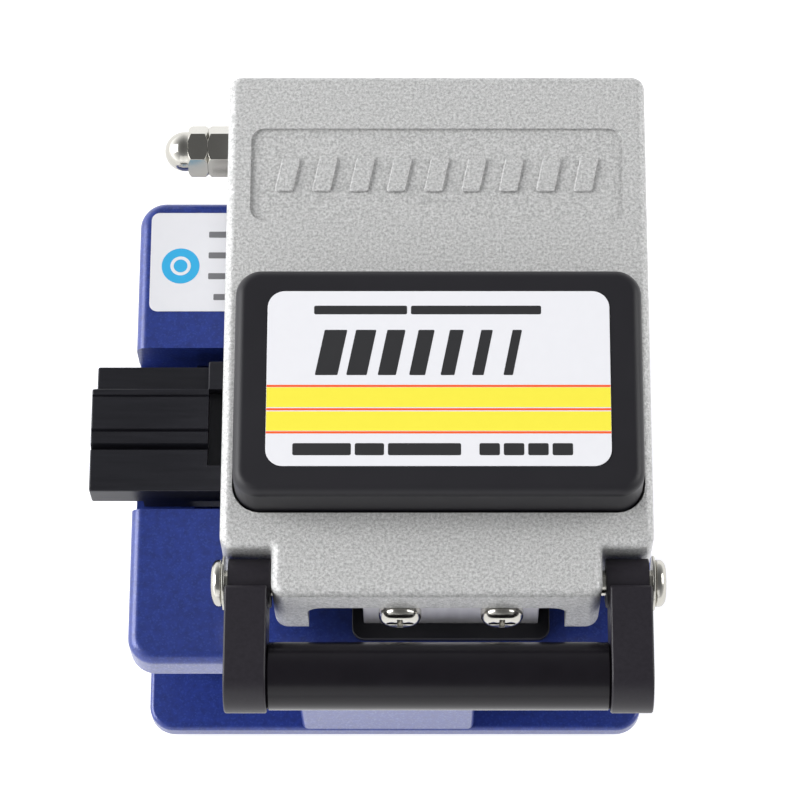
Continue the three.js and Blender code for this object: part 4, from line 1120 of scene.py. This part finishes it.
class CLEAVER_OT_nuts(Builder, bpy.types.Operator):
    """Build the hinge's plain nut and acorn nut"""

    bl_idname = "cleaver.nuts"
    bl_label = "Hinge nuts"

    def hexagon(self, name, x0, x1, hinge):
        r = NUT_FLATS / 2 / math.cos(math.pi / 6)
        path = []
        for k in range(6):
            a = NUT_TURN + math.pi / 3 * k
            path.append((hinge.y + r * math.cos(a), hinge.z + r * math.sin(a), NUT_CORNER))
        body = loft(name, path, [(0, x0), (0, x1)], "X", 3)
        half = (x1 - x0) / 2
        face_r = r - NUT_FACE_IN
        wide_r = r + 0.05
        ball = [
            (face_r, -half - 0.01),
            (wide_r, -half + NUT_CHAMFER),
            (wide_r, half - NUT_CHAMFER),
            (face_r, half + 0.01),
        ]
        chamfer = lathe("chamfer", ball, "X", ((x0 + x1) / 2, hinge.y, hinge.z), 64)
        return combined(body, [chamfer], "INTERSECT")

    def build(self):
        hinge = joint_place("lid_hinge")
        centre = (0, hinge.y, hinge.z)
        nut = Box("hinge_nut")
        plain = self.hexagon("hinge_nut_piece", nut.x0, nut.x1, hinge)
        drilled(plain, BORE_R, nut.x0 - PAST, nut.x1 + PAST, "X", centre, 48)
        softened(plain, 0.06, 2)
        finished(plain, "lid", material("chrome"), ["hinge_nut"])
        acorn = Box("acorn_nut")
        hex_left = acorn.x1 - ACORN_HEX_T
        body = self.hexagon("acorn_nut_piece", hex_left, acorn.x1, hinge)
        collar = hex_left - acorn.x0 - DOME_R
        profile = [(DOME_R, hex_left + 0.3)]
        for k in range(13):
            a = math.pi / 2 * k / 12
            profile.append((max(DOME_R * math.cos(a), 0.02), hex_left - collar - DOME_R * math.sin(a)))
        united(body, lathe("dome", profile[::-1], "X", centre, 64))
        drilled(body, BORE_R, Box("hinge_pin").x0 - 0.05, acorn.x1 + PAST, "X", centre, 48)
        softened(body, 0.06, 2)
        finished(body, "lid", material("chrome"), ["acorn_nut"])


DECK_T = 5.6
BODY_WALL = 7.0
WALL_SETBACK = 10.8  # mm, from the deck's front edge to the walls'
WALL_INSET = 0.05
WALL_R = 2.2
BAY_BACK = 10.0
BAY_ROOF = 0.6
WEB_IN = 9.0
WEB_TOP_IN = 1.3
WEB_BACK_ANGLE = 0.35  # radians
WEB_TOP_ANGLE = 0.6
KNUCKLE_IN = 2.3  # mm, from the lid's sides to the knuckle's ends
PIN_WAY_R = 1.9
CLAMP_GAP = 0.15
BLADE_GAP = 0.6
MOUNT_GAP = 0.8
POCKET_H = 2.6
MAGNET_GAP = 0.03


class CLEAVER_OT_casting(Builder, bpy.types.Operator):
    """Build the blue bridge casting, with its deck, walls, knuckle, channel and blade slot"""

    bl_idname = "cleaver.casting"
    bl_label = "Bridge casting"

    def build(self):
        own = settings("body")
        casting = Box("body_casting")
        label = Box("deck_label")
        top = label.z0 - SEAT
        under = top - DECK_T
        back = label.y1 + own.label_inset
        path = rounded_rect(casting.x0, casting.x1, casting.y0, back, own.corner)
        body = loft("casting", path, filleted(under, top, 0.3, own.edge, 8), segments=12)
        self.walls(body, casting, under, back)
        self.knuckle(body, top, under, back)
        adapter = Box("fiber_adapter")
        x1 = adapter.x1 + own.channel_side
        y0, y1 = adapter.y0 - own.channel_front, adapter.y1 + own.channel_back
        cut(body, block("channel", casting.x0 - PAST, x1, y0, y1, Box("adapter_seat").z0 - SEAT, top + PAST))
        self.deck_holes(body, top, under)
        softened(body, 0.3, 3)
        finished(body, "base", material("blue_paint"), ["body_casting"])

    def walls(self, body, casting, under, back):
        """The two side walls and the back, round the slider's bay."""
        front = casting.y0 + WALL_SETBACK
        x0, x1 = casting.x0 + WALL_INSET, casting.x1 - WALL_INSET
        outer = rounded_rect(x0, x1, front, back - WALL_INSET, WALL_R)
        lower = loft("lower", outer, filleted(casting.z0, under + PAST, 0.3, 0), segments=8)
        x0, x1 = casting.x0 + BODY_WALL, casting.x1 - BODY_WALL
        bay_back = back - BAY_BACK
        cut(lower, block("bay", x0, x1, front - PAST, bay_back, casting.z0 - PAST, under - BAY_ROOF, 1.2))
        united(body, lower)

    def knuckle(self, body, top, under, back):
        """The hinge's barrel and the web that carries it, with the bores for the pin and its bushes."""
        lid = Box("lid_shell")
        hinge = joint_place("lid_hinge")
        centre = (0, hinge.y, hinge.z)
        ear = hinge.z - lid.z0
        left = lid.x0 + KNUCKLE_IN
        right = lid.x1 - KNUCKLE_IN
        low_y, low_z = ear * math.cos(WEB_BACK_ANGLE), ear * math.sin(WEB_BACK_ANGLE)
        top_y, top_z = ear * math.sin(WEB_TOP_ANGLE), ear * math.cos(WEB_TOP_ANGLE)
        web = [
            (back - WEB_IN, under - DECK_T, 0.3),
            (back, under - DECK_T, 0.3),
            (hinge.y, under, 2.0),
            (hinge.y + low_y, hinge.z - low_z, 0.05),
            (hinge.y, hinge.z, 0.05),
            (hinge.y - top_y, hinge.z + top_z, 0.05),
            (back - WEB_TOP_IN, top - WEB_TOP_IN, 0.3),
            (back - WEB_IN, top - WEB_TOP_IN, 0.3),
        ]
        knuckle = loft("knuckle", web, [(0, left), (0, right)], "X", 4)
        united(knuckle, lathe("barrel", [(ear, left), (ear, right)], "X", centre, 64))
        united(body, knuckle)
        bush = Box("hinge_bush_left")
        bush_r = bush.h / 2 + SEAT
        drilled(body, PIN_WAY_R, left - PAST, right + PAST, "X", centre, 40)
        drilled(body, bush_r, left - PAST, bush.x1 + SEAT, "X", centre, 40)
        drilled(body, bush_r, Box("hinge_bush_right").x0 - SEAT, right + PAST, "X", centre, 40)

    def deck_holes(self, body, top, under):
        """The clamps' holes, the blade's slot and pocket, and the magnet's well."""
        for side in ("left", "right"):
            clamp = Box("lower_clamp_" + side)
            x0, x1 = clamp.x0 - CLAMP_GAP, clamp.x1 + CLAMP_GAP
            y0, y1 = clamp.y0 - CLAMP_GAP, clamp.y1 + CLAMP_GAP
            cut(body, block("hole", x0, x1, y0, y1, clamp.z0 - SEAT, top + PAST))
        blade = Box("blade_wheel")
        y0 = blade.y0 - PAST
        y1 = blade.y1 + travel("slider_slide") + PAST
        x0, x1 = blade.x0 - BLADE_GAP, blade.x1 + BLADE_GAP
        cut(body, block("slot", x0, x1, y0, y1, under - PAST, top + PAST, 0.4))
        x0, x1 = Box("blade_screw").x0 - 0.5, Box("blade_mount").x1 + MOUNT_GAP
        cut(body, block("pocket", x0, x1, y0, y1, under - PAST, under + POCKET_H, 0.4))
        magnet = Box("catch_magnet")
        well_r = magnet.w / 2 + MAGNET_GAP
        drilled(body, well_r, magnet.z0 - SEAT, top + PAST, "Z", (magnet.x, magnet.y, 0))


PLATE_R = 3.2


class CLEAVER_OT_base(Builder, bpy.types.Operator):
    """Build the base plate and the rubber rest mat"""

    bl_idname = "cleaver.base"
    bl_label = "Base plate and mat"

    def build(self):
        plate = Box("base_plate")
        path = rounded_rect(plate.x0, plate.x1, plate.y0, plate.y1, PLATE_R)
        body = loft("plate", path, filleted(plate.z0, plate.z1, 0.25, 0.6, 5), segments=12)
        for i in range(1, 5):
            screw = Box("base_screw_%d" % i)
            head_r = screw.w / 2 + 0.05
            cone = plate.z0 + 1.4
            low, high = plate.z0 - 0.5, plate.z1 + PAST
            profile = [(head_r, low), (head_r, plate.z0), (BORE_R, cone), (BORE_R, high)]
            cut(body, lathe("hole", profile, "Z", (screw.x, screw.y, 0), 32))
        finished(body, "base", material("blue_paint"), ["base_plate"])
        mat = Box("rest_mat")
        path = rounded_rect(mat.x0, mat.x1, mat.y0, mat.y1, PLATE_R)
        body = loft("mat", path, filleted(mat.z0, mat.z1, 0.2, 0.15, 3), segments=10)
        finished(body, "base", material("rubber"), ["rest_mat"])


THUMB_D = 7.0
THUMB_HALF = 11.0
THUMB_SHIFT = -0.9  # mm, from the slider's middle to the thumb block's
THUMB_WALL = 1.5
RAIL_GAP = 0.3
GROOVES = 4
GROOVE_LOW = 10.6
GROOVE_PITCH = 2.6
GROOVE_HALF = 7.5
GROOVE_H = 0.9
GROOVE_DEPTH = 0.45


class CLEAVER_OT_slider(Builder, bpy.types.Operator):
    """Build the slider block with its thumb block"""

    bl_idname = "cleaver.slider"
    bl_label = "Slider block"

    def build(self):
        whole = Box("slider_block")
        floor = Box("rail_carriage").z1 + SEAT
        front = whole.y0
        back = front + THUMB_D
        x = whole.x + THUMB_SHIFT
        body = block("slider", whole.x0, whole.x1, back - 0.5, whole.y1, floor, whole.z1, 0.8, 0.3, 0.8)
        x0, x1 = x - THUMB_HALF, x + THUMB_HALF
        united(body, block("thumb", x0, x1, front, back - SEAT, whole.z0, whole.z1, 0.9, 0.2, 0.9))
        rail = Box("slide_rail")
        x0, x1 = rail.x0 - RAIL_GAP, rail.x1 + RAIL_GAP
        low, high = whole.z0 - PAST, rail.z1 + RAIL_GAP
        cut(body, block("way", x0, x1, front + THUMB_WALL, back + PAST, low, high))
        for k in range(GROOVES):
            z = whole.z0 + GROOVE_LOW + k * GROOVE_PITCH
            x0, x1 = x - GROOVE_HALF, x + GROOVE_HALF
            cut(body, block("groove", x0, x1, front - PAST, front + GROOVE_DEPTH, z, z + GROOVE_H, 0.1))
        softened(body, 0.15, 2)
        finished(body, "slider", material("blue_paint"), ["slider_block"])


ADAPTER_STEP_D = 3.6
ADAPTER_STEP_H = 2.2
ADAPTER_STEP_IN = 0.4
CROSS_IN = 5.7  # mm, from the adapter's right end to the cross slot's left side
CROSS_W = 1.7
CROSS_AHEAD = 2.4  # mm, in front of the fibre
CROSS_H = 1.8
TAB_LAP = 0.1
FIBRE_GROOVES = ((0.0, 0.45, 1.15), (2.1, 0.28, 0.4), (6.5, 0.22, 0.3))  # behind the fibre, half width, depth


class CLEAVER_OT_adapter(Builder, bpy.types.Operator):
    """Build the black fibre adapter"""

    bl_idname = "cleaver.adapter"
    bl_label = "Adapter"

    def build(self):
        whole = Box("fiber_adapter")
        fibre_y = Box("lower_pad_left").y
        step_y = whole.y1 - ADAPTER_STEP_D
        cross_x = whole.x1 - CROSS_IN

        def piece(name, x0, y0, y1, z1, low):
            return block(name, x0, whole.x1, y0, y1, whole.z0, z1, 0.25, low, 0.2, 3)

        main = piece("adapter", whole.x0, whole.y0, step_y, whole.z1, 0.15)
        step_x = whole.x0 + ADAPTER_STEP_IN
        rear = piece("rear", step_x, step_y - 1, whole.y1, whole.z1 - ADAPTER_STEP_H, 0.15)
        tab = piece("tab", cross_x - TAB_LAP, step_y - 0.5, whole.y1, whole.z1 - 0.2, 0.1)
        united(main, rear, tab)
        sides = (cross_x, cross_x + CROSS_W, fibre_y - CROSS_AHEAD, step_y + 0.001)
        cut(main, block("cross", *sides, whole.z1 - CROSS_H, whole.z1 + PAST, 0.1))
        for behind, half, depth in FIBRE_GROOVES:
            y = fibre_y + behind
            high = whole.z1 + 0.05
            path = [(y - half, high, SHARP), (y, whole.z1 - depth, SHARP), (y + half, high, SHARP)]
            cut(main, loft("groove", path, [(0, whole.x0 - PAST), (0, whole.x1 + PAST)], "X", 1))
        softened(main, 0.08, 2)
        finished(main, "base", material("black_anodised"), ["fiber_adapter"])


DISC_R = 2.32
DISC_IN = (3.7, 7.05)  # mm, the disc's middle from the label's left and back edges
RING_R = 1.25
RING_HOLE_R = 0.85
DECK_BARS_IN = (7.1, 2.5)  # mm, the first row of bars from the label's left and back edges
DECK_BAR_PITCH = 2.75
DECK_BAR_H = 0.8
DECK_BAR_ROWS = ((0.0, 12.6), (0.0, 12.0), (0.0, 12.8), (0.7, 9.5))  # mm, each row's indent and length
DECK_BAR_WORDS = ((0.0, 0.30), (0.36, 0.62), (0.68, 1.0))  # shares of a row
CATCH_HOLE_R = 1.3


class CLEAVER_OT_deck_trim(Builder, bpy.types.Operator):
    """Build the deck's label and keeper plate, and the lid's catch tongue"""

    bl_idname = "cleaver.deck_trim"
    bl_label = "Deck trim"

    def build(self):
        label = Box("deck_label")
        film_top = label.z1 - PRINT_ROOM
        sides = (label.x0, label.x1, label.y0, label.y1)
        film_body = block("deck_label_piece", *sides, label.z0, film_top, 1.0, 0, 0.03)
        finished(film_body, "base", material("label"), ["deck_label"])
        self.print_on(label, film_top + PRINT_LIFT)
        keeper = Box("keeper_plate")
        sides = (keeper.x0, keeper.x1, keeper.y0, keeper.y1)
        plate = block("keeper", *sides, keeper.z0, keeper.z1, 1.5, 0.05, 0.18, 10)
        finished(plate, "base", material("black_anodised"), ["keeper_plate"])
        tongue = Box("catch_tongue")
        sides = (tongue.x0, tongue.x1, tongue.y0, tongue.y1)
        plate = block("tongue", *sides, tongue.z0, tongue.z1, 0.2, 0.2, 0.1)
        for i in (1, 2):
            screw = Box("catch_screw_%d" % i)
            drilled(plate, CATCH_HOLE_R, tongue.y0 - PAST, tongue.y1 + PAST, "Y", (screw.x, 0, screw.z), 32)
        finished(plate, "lid", material("tongue_steel"), ["catch_tongue"])

    def print_on(self, label, top):
        """Prints the disc with its ring, and rows of bars."""
        centre = (label.x0 + DISC_IN[0], label.y1 - DISC_IN[1], 0)
        disc = lathe("deck_label_disc", [(DISC_R, top), (DISC_R, top + PRINT_T)], "Z", centre, 64)
        finished(disc, "base", material("disc"))
        profile = [(RING_R, top + PRINT_T + PRINT_LIFT), (RING_R, label.z1)]
        ring = lathe("deck_label_ring", profile, "Z", centre, 48)
        drilled(ring, RING_HOLE_R, top, top + 0.04, "Z", centre, 48)
        finished(ring, "base", material("label"))
        bars = []
        for row, (indent, wide) in enumerate(DECK_BAR_ROWS):
            y = label.y1 - DECK_BARS_IN[1] - row * DECK_BAR_PITCH
            x = label.x0 + DECK_BARS_IN[0] + indent
            for a, b in DECK_BAR_WORDS:
                sides = (x + a * wide, x + b * wide, y - DECK_BAR_H, y)
                bars.append(block("bar", *sides, top, top + PRINT_T, 0.12, segments=2))
        finished(joined_mesh("deck_label_bars", bars), "base", material("grey_ink"))


SPRING_WIRE_R = 0.3
SPRING_TURNS = 5.5
SPRING_CLOSED = 0.9  # turns closed up at each end
SPRING_STEPS = 32  # in each turn
SPRING_SIDES = 8


class CLEAVER_OT_springs(Builder, bpy.types.Operator):
    """Build the three springs under the press cap"""

    bl_idname = "cleaver.springs"
    bl_label = "Press springs"

    def build(self):
        for name in ("left", "right", "anvil"):
            node = "press_spring_" + name
            own = Box(node)
            coil = self.coil(node + "_piece", own)
            finished(coil, "lid", material("spring_steel"), [node], weighted=False)
            foot = (own.x * MM, own.y * MM, own.z0 * MM)
            keep = (own.h - travel("press_slide")) / own.h
            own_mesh(coil)

    def coil(self, name, own):
        """Round wire wound up a helix, with its two end turns closed."""
        wire, turns, sides = SPRING_WIRE_R, SPRING_TURNS, SPRING_SIDES
        radius = own.w / 2 - wire
        count = int(turns * SPRING_STEPS)
        low, high = own.z0 + wire, own.z1 - wire
        closed = 2 * wire * 0.9
        vertices = []
        faces = []
        for k in range(count + 1):
            t = k / count
            angle = 2 * math.pi * turns * t
            wound = t * turns
            open_share = min(max((wound - SPRING_CLOSED) / (turns - 2 * SPRING_CLOSED), 0.0), 1.0)
            first = min(wound, SPRING_CLOSED) / SPRING_CLOSED
            last = max(wound - turns + SPRING_CLOSED, 0.0) / SPRING_CLOSED
            z = low + (first + last) * closed + open_share * (high - low - 2 * closed)
            out = Vector((math.cos(angle), math.sin(angle), 0.0))
            middle = Vector((own.x, own.y, z)) + out * radius
            for i in range(sides):
                turn = 2 * math.pi * i / sides
                vertices.append(middle + out * wire * math.cos(turn) + Vector((0, 0, wire * math.sin(turn))))
        for k in range(count):
            for i in range(sides):
                j = (i + 1) % sides
                faces.append((k * sides + i, k * sides + j, (k + 1) * sides + j, (k + 1) * sides + i))
        faces.append(tuple(reversed(range(sides))))
        faces.append(tuple(count * sides + i for i in range(sides)))
        return from_faces(name, vertices, faces)


KEPT = {
    "steel": (
        "base_screw_1 base_screw_2 base_screw_3 base_screw_4 slide_rail rail_carriage lower_clamp_left"
        " lower_clamp_right upper_clamp_left upper_clamp_right hinge_pin catch_magnet blade_mount"
        " blade_screw press_plunger_left press_plunger_right anvil"
    ),
    "brass": "hinge_bush_left hinge_bush_right press_bush_left press_bush_right press_bush_anvil blade_hub",
    "rubber": "lower_pad_left lower_pad_right upper_pad_left upper_pad_right",
    "carbide": "blade_wheel",
    "black_anodised": "adapter_seat",
}


class CLEAVER_OT_works(Builder, bpy.types.Operator):
    """Finish the inner pieces that keep their own shape"""

    bl_idname = "cleaver.works"
    bl_label = "Inner pieces"

    def build(self):
        for finish, names in KEPT.items():
            for name in names.split():
                for slot in frame["nodes"][name].material_slots:
                    slot.material = material(finish)


OPERATORS = (
    CLEAVER_OT_stage,
    CLEAVER_OT_lid,
    CLEAVER_OT_cap,
    CLEAVER_OT_bail,
    CLEAVER_OT_screws,
    CLEAVER_OT_nuts,
    CLEAVER_OT_casting,
    CLEAVER_OT_base,
    CLEAVER_OT_slider,
    CLEAVER_OT_adapter,
    CLEAVER_OT_deck_trim,
    CLEAVER_OT_springs,
    CLEAVER_OT_works,
)


class CLEAVER_PT_panel(bpy.types.Panel):
    """Lists the pieces and their settings"""

    bl_idname = "CLEAVER_PT_panel"
    bl_label = "Fibre cleaver"
    bl_space_type = "VIEW_3D"
    bl_region_type = "UI"
    bl_category = "Cleaver"

    def draw(self, context):
        for operator in OPERATORS:
            self.layout.operator(operator.bl_idname)
        for name in SETTINGS:
            group = getattr(context.scene, name)
            box = self.layout.box()
            for key in group.bl_rna.properties.keys():
                if key not in ("rna_type", "name"):
                    box.prop(group, key)


def register():
    for group in (*SETTINGS.values(), *OPERATORS, CLEAVER_PT_panel):
        bpy.utils.register_class(group)
    for name, group in SETTINGS.items():
        setattr(bpy.types.Scene, name, PointerProperty(type=group))


def unregister():
    for name in SETTINGS:
        delattr(bpy.types.Scene, name)
    for group in (CLEAVER_PT_panel, *reversed(OPERATORS), *SETTINGS.values()):
        bpy.utils.unregister_class(group)


def main():
    register()
    for operator in OPERATORS:
        module, name = operator.bl_idname.split(".")
        getattr(getattr(bpy.ops, module), name)()
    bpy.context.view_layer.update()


if __name__ == "__main__":
    main()
